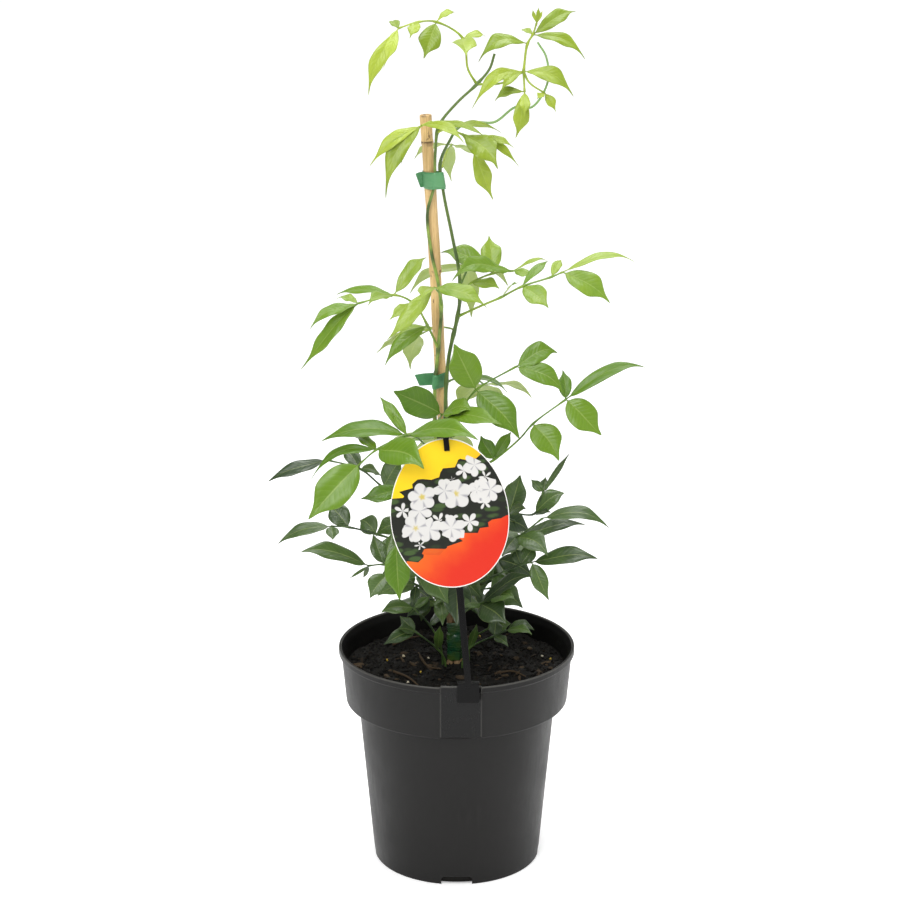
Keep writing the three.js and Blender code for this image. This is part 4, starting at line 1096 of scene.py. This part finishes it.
def icosahedron():
    """The twelve corners and twenty faces of a ball with flat faces, one across."""
    g = (1 + 5**0.5) / 2
    corners = np.array([
        [-1, g, 0], [1, g, 0], [-1, -g, 0], [1, -g, 0], [0, -1, g], [0, 1, g],
        [0, -1, -g], [0, 1, -g], [g, 0, -1], [g, 0, 1], [-g, 0, -1], [-g, 0, 1],
    ])
    faces = np.array([
        [0, 11, 5], [0, 5, 1], [0, 1, 7], [0, 7, 10], [0, 10, 11], [1, 5, 9], [5, 11, 4], [11, 10, 2],
        [10, 7, 6], [7, 1, 8], [3, 9, 4], [3, 4, 2], [3, 2, 6], [3, 6, 8], [3, 8, 9], [4, 9, 5],
        [2, 4, 11], [6, 2, 10], [8, 6, 7], [9, 8, 1],
    ])
    return unit(corners), faces


def scatter(form, draw, count, lumps):
    """Lumps strewn evenly over the surface: each is the ball of twenty faces with its corners pushed in
    and out by chance, stretched to its sizes and turned by a chance rotation."""
    sizes, sunk, tints, rough, margin = lumps
    ball, faces = icosahedron()
    distance = (SOIL["reach"] - margin) * np.sqrt(draw.random(count))
    angle = draw.random(count) * 2 * math.pi
    x, y = distance * np.cos(angle), distance * np.sin(angle)
    size = draw.uniform(*np.asarray(sizes, float).T, (count, 3)) / 2
    size[:, 0] *= draw.uniform(0.6, 1.3, count)
    tilt, heading = draw.normal(0, 0.25, (count, 2)), draw.random(count) * 2 * math.pi
    corners = ball[None] * (1 + draw.uniform(-rough, rough, (count, 12, 1))) * size[:, None]
    a, b, c = corners[..., 0], corners[..., 1], corners[..., 2]
    c += a * tilt[:, :1] + b * tilt[:, 1:]
    cosine, sine = np.cos(heading)[:, None], np.sin(heading)[:, None]
    turned = np.stack([a * cosine - b * sine, a * sine + b * cosine, c], axis=-1)
    turned += np.stack([x, y, soil_height(x, y) + size[:, 2] * (1 - sunk)], axis=-1)[:, None]
    index = faces[None] + (np.arange(count) * 12)[:, None, None]
    form.add(turned.reshape(-1, 3), [], index, tint=np.repeat(draw.uniform(*tints, count), 12))


def on_soil(points, lift):
    """Points [x, y] laid on the surface, raised by lift."""
    p = np.asarray(points, float)
    return np.column_stack([p, soil_height(p[:, 0], p[:, 1]) + lift])


# Cane, ties and stems
def cane_path():
    """The cane's middle line: a smooth curve through its points."""
    return curve(place(CANE["path"]), 60)


def make_cane():
    """The cane: circles along its path, swollen at the joints with a groove under each swelling, and a
    sawn end with a small hollow in its middle. The tint marks the joints and the end."""
    path = cane_path()
    z = path[:, 2]
    joints = place([[0, 6, j] for j in CANE["joints"]])[:, 2]
    ring = bells([z - j for j in joints], 1.7)
    groove = bells([z - j + 3.4 for j in joints], 1.3)
    radius = CANE["radius"] - 0.25 + 0.5 * ring - 0.35 * groove + 0.12 * np.sin(z * 0.11)
    scar = np.clip(ring + groove * 0.8 + smoothstep(z[-1] - 9, z[-1], z) * 0.7, 0, 1)
    top, along = path[-1], unit(path[-1] - path[-2])
    spine = np.vstack([path[:-1], top + along * (np.array(CANE["end_depth"])[:, None] - 0.3)])
    reach = np.concatenate([radius[:-1], CANE["end_radius"]])
    frames = [np.vstack([way[:-1], np.repeat(way[-1:], 5, axis=0)]) for way in carried_frames(path)]
    turn = turns(CANE["around"])
    ridged = reach[:, None] * (1 + 0.012 * np.cos(turn * 7 + 1)[None] + 0.01 * np.cos(turn * 3)[None])
    rings = rings_along(spine, ridged, *frames)
    tint = np.repeat(np.concatenate([scar[:-1], CANE["end_tint"]]), CANE["around"])
    form = Form()
    form.rings(rings, path[0], spine[-1], tint=np.concatenate([tint, [0, 1]]))
    return form


def stem_path(stem):
    """A stem's middle line: a smooth curve through its points."""
    return curve(place(stem["points"]), 22)


def stem_joints(stem):
    """Where leaf stalks leave the stem: the nearest path place of each first stalk point near it."""
    path = stem_path(stem)
    starts = place([branches[0][0][0] for _, branches in FRONDS.values()])
    gaps = np.linalg.norm(path[None] - starts[:, None], axis=2)
    return np.argmin(gaps, axis=1)[gaps.min(axis=1) < 4]


def make_stem(stem):
    """A stem: circles along its path that taper, with a swelling of the bell curve at each joint and
    low ridges. The tint is the share of its length."""
    path = stem_path(stem)
    length = run(path)
    share = length / length[-1]
    radius = stem["radius"][0] + (stem["radius"][1] - stem["radius"][0]) * share
    radius = radius + STEM_FOOT["swell"] * smoothstep(STEM_FOOT["above"], STEM_FOOT["below"], path[:, 2])
    swelling = bells([length - length[j] for j in stem_joints(stem)], 4.5)
    radius = radius * (1 + 0.32 * np.clip(swelling, 0, 1.2))
    form = Form()
    tint = np.concatenate([np.repeat(share, STEM_AROUND), [0, 1]])
    tube(form, path, radius, STEM_AROUND, ridges=0.035, tint=tint)
    return form


def hull_outline(centres, radii, count):
    """The tight outline round some circles: for each of many directions the furthest point of all the
    circles' points, then places at equal lengths along it."""
    turn = turns(180)
    circle = np.stack([np.cos(turn), np.sin(turn)], axis=1)
    points = (np.asarray(centres)[:, None] + np.asarray(radii)[:, None, None] * circle).reshape(-1, 2)
    furthest = points[np.argmax(points @ circle.T, axis=0)]
    closed = np.vstack([furthest, furthest[:1]])
    length = run(closed)
    wanted = np.linspace(0, length[-1], count, endpoint=False)
    return np.stack([np.interp(wanted, length, closed[:, k]) for k in range(2)], axis=1)


def tape_band(form, members, bottom, top, tape=0.5, tilt=0.0, lift=0.0, wrinkle=0.2, seed=0):
    """A band of tape drawn round the members: a flat oval section carried round their outline, tilted
    as a plane is, with creases of noise that push the tape in and out."""
    rows, count = 14, 72
    turn = turns(rows)
    middle, half = (bottom + top) / 2, (top - bottom) / 2
    heights = middle + half * squared(np.sin(turn), 0.7)
    offsets = lift + tape / 2 * (1 + np.cos(turn))
    loops = []
    for height, offset in zip(heights, offsets):
        centres = [path[np.argmin(np.abs(path[:, 2] - height))][:2] for path, _ in members]
        loops.append(hull_outline(centres, [radius + offset for _, radius in members], count))
    loops = np.stack(loops)
    pull = turns(count)
    crease = crumble(np.cos(pull)[None] * 3 + seed, np.sin(pull)[None] * 3 + heights[:, None] * 0.12, seed)
    centre = loops.mean(axis=(0, 1))
    loops = centre + (loops - centre) * (1 + crease[..., None] * wrinkle / 12)
    rise = (loops[..., 0] - centre[0]) * tilt + 0.35 * np.sin(pull * 2 + seed)[None]
    points = np.dstack([loops, heights[:, None] + rise]).reshape(-1, 3)
    index = np.arange(rows * count).reshape(rows, count)
    below, after = np.roll(index, -1, axis=0), np.roll(index, -1, axis=1)
    corner = np.roll(below, -1, axis=1)
    form.add(points, np.stack([index, after, corner, below], axis=-1), [])


def tape_tail(form, start, length, height, slant=4.0, droop=0.8, tape=0.55):
    """The free end of a tape: a flat oval section carried to the left, its end cut slanting and its
    line bent forwards by a parabola."""
    s = np.linspace(0, 1, 12)
    turn = turns(16)
    tall = squared(np.sin(turn), 0.6) * height / 2
    thick = np.cos(turn) * tape / 2
    reach = s[:, None] * (length + slant * tall[None] / height)
    points = np.stack([
        start[0] - reach,
        start[1] + thick[None] - 1.6 * s[:, None] ** 2,
        start[2] + tall[None] * (1 - 0.12 * s[:, None] ** 3) - droop * s[:, None] ** 2,
    ], axis=-1)
    form.rings(points, points[0].mean(axis=0), points[-1].mean(axis=0))


# Leaves
def leaflet(form, base, blade, habit, draw):
    """A leaflet: u runs from its base to its tip and the turn runs round its thin section. Its middle
    line is straight, raised by a parabola and by a cubic that peaks nearer the tip, so that the tip
    droops. Its half width is t^rise (1 - t)^fall, narrowed near the tip and scaled to its peak. Each
    half rises from the midrib in a shallow V with a bulge, ripples between the side veins and waves at
    its margin, and the whole twists about its length."""
    tip_x, tip_depth, tip_z, width, face, arch = blade
    tip = place([[tip_x, tip_depth, tip_z]])[0]
    along = tip - base
    size = np.linalg.norm(along)
    direction = along / size
    lean = math.radians(face)
    up = np.array([0, -math.sin(lean), math.cos(lean)])
    up = unit(up - direction * (up @ direction))
    side = np.cross(direction, up)
    u = np.linspace(0, 0.996, LEAFLET["stations"])[:, None]
    turn = turns(LEAFLET["around"])[None]
    v, h = np.cos(turn), np.sin(turn)
    t = np.clip((u - LEAFLET["stalk"]) / (1 - LEAFLET["stalk"]), 0, 1)
    spread = t ** habit["rise"] * (1 - t) ** habit["fall"] * (1 - habit["drip"] * smoothstep(0.6, 0.93, t))
    spread = spread / spread.max()
    reach = np.maximum(width / 2 * spread, np.interp(u, [0, 0.08, 1], [0.55, 0.5, 0.12]))
    thick = np.interp(u, [0, 0.07, 0.15, 1], [0.55, 0.45, LEAFLET["half"], 0.1])
    opened = smoothstep(0.07, 0.2, u)
    phase = LEAFLET["veins"] * u - 1.6 * np.abs(v) + draw.random()
    ripple = 0.5 - 0.5 * np.cos(2 * math.pi * phase)
    swell = np.sin(math.pi * np.abs(v))
    margin = draw.uniform(0.4, 1.0) * min(width * 0.09, habit["wave"])
    waves = draw.uniform(1.6, 3.0)
    shift = draw.uniform(0, 2 * math.pi, 2)
    wave = np.abs(v) ** 2 * np.sin(2 * math.pi * waves * u + np.where(v > 0, shift[0], shift[1]))
    lift = h * thick + reach * (LEAFLET["fold"] * (np.sqrt(v**2 + 0.01) - 0.1) + 0.09 * swell)
    veined = ripple * swell * min(width * 0.018, 0.25)
    lift = lift + opened * (margin * wave * np.minimum(1, spread * 1.3) + veined)
    twist = draw.uniform(-1, 1) * habit["twist"] * (u - 0.4) * opened
    parabola, late = 4 * u * (1 - u), 6.75 * u**2 * (1 - u)
    bend = draw.uniform(-0.02, 0.02) * size * np.sin(2 * math.pi * u)
    bow = draw.uniform(-1, 1) * habit["bow"] * size * late
    x = reach * v * np.cos(twist) - lift * np.sin(twist) + bow
    y = reach * v * np.sin(twist) + lift * np.cos(twist) + bend
    points = base + u[..., None] * along + x[..., None] * side + y[..., None] * up
    points[..., 2] += arch * (0.55 * parabola + 0.45 * late) + 0.025 * size * late * (1 - abs(direction[2]))
    uv = np.stack(np.broadcast_arrays(u, (v + 1) / 2), axis=-1)
    under = np.concatenate([np.broadcast_to(h < -0.01, uv.shape[:2]).astype(float).ravel(), [0, 0]])
    form.rings(points, base, tip, uv, tint=draw.random(), under=under)


def leafy(branches, tone, seed):
    """A form of branches: each stalk is a tapered rod, knobbed by bell curves where leaflets sit."""
    draw = np.random.default_rng(seed)
    form = Form()
    per_span = 9
    for stalk, leaflets in branches:
        points = place(stalk)
        path = curve(points, per_span)
        radius = np.interp(np.linspace(0, 1, len(path)), [0, 0.08, 1], [1.35, 0.95, 0.6])
        held = {at for at, *_ in leaflets}
        knobs = bells([np.arange(len(path)) - at * per_span for at in held], 1.6)
        tube(form, path, radius + 0.4 * knobs, slot=1)
        for at, *blade in leaflets:
            leaflet(form, points[at], blade, HABITS[tone], draw)
    return form


# Label
def stick_frame():
    """Directions of the stick: across it, away from the viewer and along it, with its head's place."""
    foot, head = np.array(STICK["foot"], float), np.array(STICK["head"], float)
    up = unit(head - foot)
    back = unit(np.array([0, 1.0, 0]) - up * up[1])
    return np.cross(back, up), back, up, head


def make_holder():
    """The label holder: rounded bars for the stick with its raised rib, the T head, the tab that comes
    down before the card, and the clip's flap, bridge and tongue over the pot's rim."""
    across, back, up, head = stick_frame()
    foot = np.array(STICK["foot"], float)
    form = Form()

    def bar(from_head, width, thickness, corner, upward):
        path = [head + across * x + back * y + up * z for x, y, z in from_head]
        slab(form, path, width, thickness, corner, upward)

    thick, tall, length = STICK["thickness"], HEAD["height"], np.linalg.norm(head - foot)
    card_front = -thick / 2 - GAP * 2 - CARD["thickness"]
    tab = card_front - HEAD["tab_thickness"] / 2
    bar([(0, 0, 2), (0, 0, -length - 2)], STICK["width"], thick, 0.35, back)
    bar([(0, -1.05, -3), (0, -1.05, -length + 4)], 1.1, 0.7, 0.2, back)
    depth = thick / 2 - card_front + HEAD["tab_thickness"]
    ends = [(x, -(depth - thick) / 2, tall / 2) for x in (-HEAD["width"] / 2, HEAD["width"] / 2)]
    bar(ends, depth, tall, 0.4, up)
    ends = [(0, tab, tall), (0, tab, tall - HEAD["tab"])]
    bar(ends, HEAD["tab_width"], HEAD["tab_thickness"], 0.35, back)
    x, rim, clip, width = foot[0], RIM["height"], CLIP["thickness"], CLIP["width"]
    front = -panel_face(rim) - GAP
    rear = -panel_face(rim - CLIP["tongue"]) + WALL + GAP
    flap, tongue, top = front - clip / 2, rear + clip / 2, rim + CLIP["rise"]
    middle = [(front + rear) / 2, rim + (CLIP["rise"] + GAP) / 2]
    plates = [
        ([[x, flap, top], [x, flap, rim - CLIP["drop"]]], width, clip, [0, 1, 0]),
        ([[x - width / 2, *middle], [x + width / 2, *middle]],
         rear - front + clip * 2, CLIP["rise"] - GAP, [0, 0, 1]),
        ([[x, tongue, top], [x, tongue, rim - CLIP["tongue"]]], CLIP["tongue_width"], clip, [0, 1, 0]),
    ]
    for path, wide, thick, upward in plates:
        slab(form, path, wide, thick, 0.5, upward)
    return form


def make_card():
    """The card: an oval, a little narrower at its top, as rings from its middle to its edge and back on
    the other face, with a round edge and a slight bow across. The mark says where its edge is plain."""
    across, back, up, head = stick_frame()
    share = np.concatenate([np.linspace(0.02, 0.94, 16), [0.965, 0.982, 0.99, 0.995, 1.0]])
    half = CARD["thickness"] / 2 - 0.05
    edge = half * np.sqrt(np.clip(1 - np.clip((share - 0.985) / 0.015, 0, 1) ** 2, 0, 1))
    share, lift = np.concatenate([share, share[-2::-1]]), np.concatenate([edge, -edge[-2::-1]])
    turn = turns(CARD_AROUND)
    x = CARD["width"] / 2 * np.cos(turn) * (1 - CARD["taper"] * np.sin(turn))
    z = CARD["height"] / 2 * np.sin(turn)
    x, z = share[:, None] * x, share[:, None] * z
    centre = head + across * CARD["offset"] + back * (-STICK["thickness"] / 2 - GAP - CARD["thickness"] / 2)
    centre = centre + up * (-CARD["height"] / 2 - GAP)
    bow = -CARD["bow"] * (2 * x / CARD["width"]) ** 2
    rings = centre + x[..., None] * across + z[..., None] * up + (bow - lift[:, None])[..., None] * back
    uv = np.stack([x / CARD["width"] + 0.5, z / CARD["height"] + 0.5], axis=-1)
    bare = np.where(lift < 0, 1.0, smoothstep(0.981, 0.99, share))
    plain = np.concatenate([np.repeat(bare, len(turn)), [0, 1]])
    form = Form()
    form.rings(rings, rings[0].mean(axis=0), rings[-1].mean(axis=0), uv, under=plain)
    return form


# Settings that a user may change
class PotSettings(bpy.types.PropertyGroup):
    """Pot and potting mix."""
    black: colour("Pot black", "Colour of the pot's plastic", "100f0e")
    # Painted highlight colour for the panel's edges and the rim.
    painted_highlight: colour("Painted highlight black", "Painted highlight on the panel's edges and the rim", "474643")
    # Painted shade colour inside the pressed panel, standing in for its dark reflection.
    panel: colour("Panel black", "Painted shade of the smooth pressed panel", "060606")
    worn: colour("Worn black", "Colour where the pot is scuffed", "191817")
    soil_dark: colour("Dark mix", "Darkest crumbs of the potting mix", "070706")
    soil_brown: colour("Brown mix", "Lighter crumbs of the potting mix", "17140f")
    bark: colour("Bark", "Bark chips in the mix", "453829")
    prill: colour("Prills", "Feed prills", "b99a2c")
    prill_pale: colour("Pale prills", "Spent feed prills", "cfc6b0")
    crumbs: number("Crumbs", "Number of crumbs on the mix", 2600, 6000)
    chips: number("Chips", "Number of bark chips on the mix", 150, 600)
    prills: number("Prills", "Number of feed prills on the mix", 9, 60)


class StemSettings(bpy.types.PropertyGroup):
    """Stems, cane and ties."""
    cane_pale: colour("Cane", "Pale colour of the cane", "e0be86")
    cane_deep: colour("Deep cane", "Deep colour of the cane's fibres", "b39159")
    cane_scar: colour("Cane scars", "Scars at the cane's joints", "4a3220")
    right_green: colour("Right stem", "Green of the right stem", "556d29")
    left_green: colour("Left stem", "Green of the left stem", "8ca446")
    deep_green: colour("Deep stem", "Deep green of both stems", "3b5220")
    shoot: colour("Shoot", "Young end of the right stem", "82a662")
    wood_pale: colour("Pale wood", "Pale bark of the woody foot", "8d7350")
    wood_dark: colour("Dark wood", "Dark bark of the woody foot", "4d3a27")
    tape_light: colour("Upper tape", "Matte garden tape of the upper tie", "579060")
    tape_green: colour("Tape", "Matte garden tape", "4a8a5a")
    tape_deep: colour("Deep tape", "Shaded garden tape", "336b43")
    tape_base: colour("Base tape", "Glossy tape at the base", "14492f")


class LeafSettings(bpy.types.PropertyGroup):
    """Leaf colours: each tone has its own pale and deep one."""
    young: colour("Young", "Young leaves", "9bad34")
    young_deep: colour("Young, deep", "Deep colour of young leaves", "70871a")
    light: colour("Light", "Half-grown leaves", "8ba238")
    light_deep: colour("Light, deep", "Deep colour of half-grown leaves", "62841c")
    fresh: colour("Fresh", "Grown leaves", "618218")
    fresh_deep: colour("Fresh, deep", "Deep colour of grown leaves", "4c7010")
    dark: colour("Dark", "Old leaves", "476128")
    dark_deep: colour("Dark, deep", "Deep colour of old leaves", "233816")
    rib: colour("Ribs", "Midribs and margins", "b4c270")
    underside: colour("Undersides", "Undersides of all but old leaves", "9db062")
    underside_dark: colour("Dark undersides", "Undersides of old leaves", "6a8052")


class LabelSettings(bpy.types.PropertyGroup):
    """Label card and its holder."""
    holder: colour("Holder", "Black of the holder", "050505")
    holder_worn: colour("Worn holder", "Holder where it is scuffed", "0c0c0c")
    card_red: colour("Card red", "Foot of the card's field", "d0260c")
    card_orange: colour("Card orange", "Middle of the card's field", "e86a14")
    card_yellow: colour("Card yellow", "Top of the card's field", "efc818")
    card_leaf: colour("Card leaves", "Leaves on the card", "3c5228")
    card_shade: colour("Card shade", "Shade between the card's leaves", "171a12")
    card_petal: colour("Card petals", "Petals on the card", "cfcdca")
    card_fold: colour("Card folds", "Shade between the petals", "84838c")
    card_heart: colour("Card hearts", "Hearts of the card's blossoms", "c4b25c")
    card_white: colour("Card edge", "Plain edge and back of the card", "eeece8")


class StageSettings(bpy.types.PropertyGroup):
    """Floor, light and camera."""
    floor: colour("Floor", "Colour of the floor", "fafafa")
    glow: amount("Floor glow", "Light that the floor and wall give off", 0.38)
    world: amount("Surroundings", "Strength of the light all round", 0.32)
    key: amount("Key light", "Power of the main light in watts", 38)
    key_width: amount("Key light width", "Side of the main light's square", 1.3, unit="LENGTH")
    fill: amount("Fill light", "Power of the fill light in watts", 7)
    fill_width: amount("Fill light width", "Side of the fill light's square", 1.8, unit="LENGTH")
    top: amount("Top light", "Power of the light overhead in watts", 30)
    top_width: amount("Top light width", "Side of the square overhead", 1.2, unit="LENGTH")


SETTINGS = {
    "vine_pot": PotSettings, "vine_stem": StemSettings, "vine_leaf": LeafSettings,
    "vine_label": LabelSettings, "vine_stage": StageSettings,
}


# Operators
class VINE_OT_stage(bpy.types.Operator):
    """Camera, floor and soft light"""
    bl_idname = "vine.stage"
    bl_label = "Stage"

    def execute(self, context):
        settings = context.scene.vine_stage
        camera = bpy.data.objects.new("camera", bpy.data.cameras.new("camera"))
        camera.location = (0, -CAMERA["distance"], CAMERA["height"])
        camera.rotation_euler = (math.radians(90 - CAMERA["pitch"]), 0, 0)
        camera.data.sensor_width = SENSOR
        camera.data.lens = CAMERA["focal"] * SENSOR / PHOTO_PIXELS
        camera.data.shift_x = -CAMERA["offset"] / PHOTO_PIXELS
        context.scene.collection.objects.link(camera)
        context.scene.camera = camera
        self.floor(context, settings)
        for name, (spot, target) in LIGHTS.items():
            power, width = getattr(settings, name), getattr(settings, name + "_width")
            self.light(context, name, power, width, spot, target)
        world = bpy.data.worlds.new("studio")
        world.use_nodes = True
        background = world.node_tree.nodes["Background"]
        background.inputs["Color"].default_value = (1, 1, 1, 1)
        background.inputs["Strength"].default_value = settings.world
        context.scene.world = world
        context.scene.view_settings.view_transform = "Standard"
        return {"FINISHED"}

    def floor(self, context, settings):
        """A floor that turns up into a back wall: a flat stretch, a quarter circle and an upright."""
        angle = np.linspace(0, math.pi / 2, 24)
        bend, back = FLOOR["bend"], FLOOR["back"]
        depth = np.concatenate([[FLOOR["front"]], back + bend * np.sin(angle), [back + bend]])
        height = np.concatenate([[0.0], bend * (1 - np.cos(angle)), [FLOOR["height"]]])
        x = np.array([-FLOOR["half"], FLOOR["half"]])
        points = np.stack(np.broadcast_arrays(x[None], depth[:, None], height[:, None]), axis=-1)
        mesh = bpy.data.meshes.new("floor")
        faces = quads(len(depth), 2, wrap=False)[:, ::-1]
        mesh.from_pydata(points.reshape(-1, 3).tolist(), [], faces.tolist())
        mesh.polygons.foreach_set("use_smooth", np.full(len(faces), True))
        mesh.materials.append(floor_material(settings))
        floor = bpy.data.objects.new("floor", mesh)
        context.scene.collection.objects.link(floor)

    def light(self, context, name, power, size, spot, target):
        """A square soft light at a place, turned to a target."""
        lamp = bpy.data.lights.new(name, "AREA")
        lamp.energy, lamp.size = power, size
        holder = bpy.data.objects.new(name, lamp)
        aim = unit(np.array(spot, float) - np.array(target, float))
        side = unit(np.cross([0, 0, 1], aim))
        turned = np.eye(4)
        turned[:3, :3] = np.stack([side, np.cross(aim, side), aim], axis=1)
        turned[:3, 3] = spot
        holder.matrix_world = Matrix(turned.tolist())
        context.scene.collection.objects.link(holder)


class VINE_OT_pot(bpy.types.Operator):
    """Nursery pot with its rim, collar, pressed panel and drainage notches"""
    bl_idname = "vine.pot"
    bl_label = "Pot"

    def execute(self, context):
        pot = make_pot()
        pot.data.materials.clear()
        pot.data.materials.append(pot_material(context.scene.vine_pot))
        finish_piece(pot, "pot", "pot")
        return {"FINISHED"}


class VINE_OT_soil(bpy.types.Operator):
    """Potting mix with crumbs, bark chips, twigs and feed prills on it"""
    bl_idname = "vine.soil"
    bl_label = "Potting mix"

    def execute(self, context):
        settings = context.scene.vine_pot
        mix = soil_material(settings)
        make_soil_bed().finish("soil_bed", [mix], "soil", "soil")
        draw = np.random.default_rng(11)
        crumbs, chips, prills = Form(), Form(), Form()
        scatter(crumbs, draw, settings.crumbs, CRUMBS)
        crumbs.finish("soil_crumbs", [mix], "soil")
        scatter(chips, draw, settings.chips, CHIPS)
        for points, lift, tint in TWIGS:
            tube(chips, curve(on_soil(points, lift), 8), np.linspace(1.2, 0.6, 17), 7, tint=tint)
        chips.finish("bark_chips", [mix], "soil", smooth=False)
        scatter(prills, draw, settings.prills, PRILLS)
        prills.finish("feed_prills", [prill_material(settings)], "soil")
        return {"FINISHED"}


class VINE_OT_cane(bpy.types.Operator):
    """Cane that the stems are tied to"""
    bl_idname = "vine.cane"
    bl_label = "Cane"

    def execute(self, context):
        make_cane().finish("bamboo_cane", [cane_material(context.scene.vine_stem)], "cane", "cane")
        return {"FINISHED"}


class VINE_OT_stems(bpy.types.Operator):
    """The two climbing stems"""
    bl_idname = "vine.stems"
    bl_label = "Stems"

    def execute(self, context):
        settings = context.scene.vine_stem
        sides = (
            ("right", STEM_RIGHT, settings.right_green, settings.shoot),
            ("left", STEM_LEFT, settings.left_green, settings.right_green),
        )
        for side, stem, green, end in sides:
            material = stem_material("stem_skin_" + side, settings, green, end)
            make_stem(stem).finish("climbing_stem_" + side, [material], "stem", "stem_" + side)
        return {"FINISHED"}


class VINE_OT_ties(bpy.types.Operator):
    """Tapes that tie the stems to the cane"""
    bl_idname = "vine.ties"
    bl_label = "Ties"

    def execute(self, context):
        settings = context.scene.vine_stem
        cane = (cane_path(), CANE["radius"])
        right, left = ((stem_path(stem), stem["radius"][0] - 0.3) for stem in (STEM_RIGHT, STEM_LEFT))
        green = tape_material("garden_tape", settings.tape_green, settings.tape_deep)
        light = tape_material("light_garden_tape", settings.tape_light, settings.tape_green)
        glossy = tape_material("glossy_tape", settings.tape_base, settings.deep_green, 0.16, 0.34, 0.6)
        ties = ("low", [cane, left], TIE_LOW, green), ("high", [cane, left, right], TIE_HIGH, light)
        for name, members, tie, material in ties:
            form = Form()
            tape_band(form, members, tie["bottom"], tie["top"], seed=3)
            tape_band(form, members, tie["bottom"] + 1.5, tie["top"] - 0.8, tilt=0.08, lift=0.35, seed=5)
            middle = (tie["bottom"] + tie["top"]) / 2
            centre = cane[0][np.argmin(np.abs(cane[0][:, 2] - middle))]
            start = [centre[0] - CANE["radius"] + 0.5, centre[1] - 0.5, middle]
            tape_tail(form, start, tie["tail"], tie["top"] - tie["bottom"] - 1.5)
            form.finish("tape_" + name, [material], "tape", "tie_" + name)
        form = Form()
        members, bottom, top = [cane, right, left], TIE_BASE["bottom"], TIE_BASE["top"]
        for low, high, tilt, lift in TIE_BASE["turns"]:
            band = bottom + low, min(top, bottom + high)
            tape_band(form, members, *band, tape=0.7, tilt=tilt, lift=lift, wrinkle=0.5, seed=low)
        form.finish("tape_base", [glossy], "tape", "tie_base")
        return {"FINISHED"}


class VINE_OT_leaves(bpy.types.Operator):
    """Compound leaves, each with its stalks and leaflets, and the dark leaves among the stems"""
    bl_idname = "vine.leaves"
    bl_label = "Leaves"

    def execute(self, context):
        settings = context.scene.vine_leaf
        finishes = {}
        for tone in HABITS:
            pale, deep = getattr(settings, tone), getattr(settings, tone + "_deep")
            below, coat = (settings.underside_dark, 0.4) if tone == "dark" else (settings.underside, 0.15)
            blade = leaf_material(tone + "_blade", pale, deep, settings.rib, below, coat)
            finishes[tone] = [blade, stalk_material(tone + "_stalk", pale, deep)]
        for seed, (name, (tone, branches)) in enumerate(FRONDS.items()):
            form = leafy(branches, tone, seed)
            form.finish("compound_leaf_" + name, finishes[tone], SLOTS[tone], "frond_" + name)
        leafy(INNER_LEAVES, "dark", 101).finish("inner_leaves", finishes["dark"], SLOTS["dark"])
        return {"FINISHED"}


class VINE_OT_label(bpy.types.Operator):
    """Plant label card on its stick and rim clip"""
    bl_idname = "vine.label"
    bl_label = "Label"

    def execute(self, context):
        settings = context.scene.vine_label
        make_holder().finish("label_clip_and_stick", [holder_material(settings)], "holder", "label_holder")
        make_card().finish("plant_label_card", [card_material(settings)], "card", "label_card")
        return {"FINISHED"}


STEPS = [
    VINE_OT_stage, VINE_OT_pot, VINE_OT_soil, VINE_OT_cane, VINE_OT_stems, VINE_OT_ties, VINE_OT_leaves,
    VINE_OT_label,
]


class VINE_PT_panel(bpy.types.Panel):
    """The vine's makers and their settings"""
    bl_idname = "VINE_PT_panel"
    bl_label = "Potted vine"
    bl_space_type = "VIEW_3D"
    bl_region_type = "UI"
    bl_category = "Vine"

    def draw(self, context):
        for step in STEPS:
            self.layout.operator(step.bl_idname)
        for name, group in SETTINGS.items():
            box = self.layout.box()
            for setting in group.__annotations__:
                box.prop(getattr(context.scene, name), setting)


def register():
    for kind in (*SETTINGS.values(), *STEPS, VINE_PT_panel):
        bpy.utils.register_class(kind)
    for name, group in SETTINGS.items():
        setattr(bpy.types.Scene, name, PointerProperty(type=group))


def unregister():
    for name in SETTINGS:
        delattr(bpy.types.Scene, name)
    for kind in (VINE_PT_panel, *reversed(STEPS), *SETTINGS.values()):
        bpy.utils.unregister_class(kind)


def main():
    register()
    for step in STEPS:
        group, action = step.bl_idname.split(".")
        getattr(getattr(bpy.ops, group), action)()


if __name__ == "__main__":
    main()
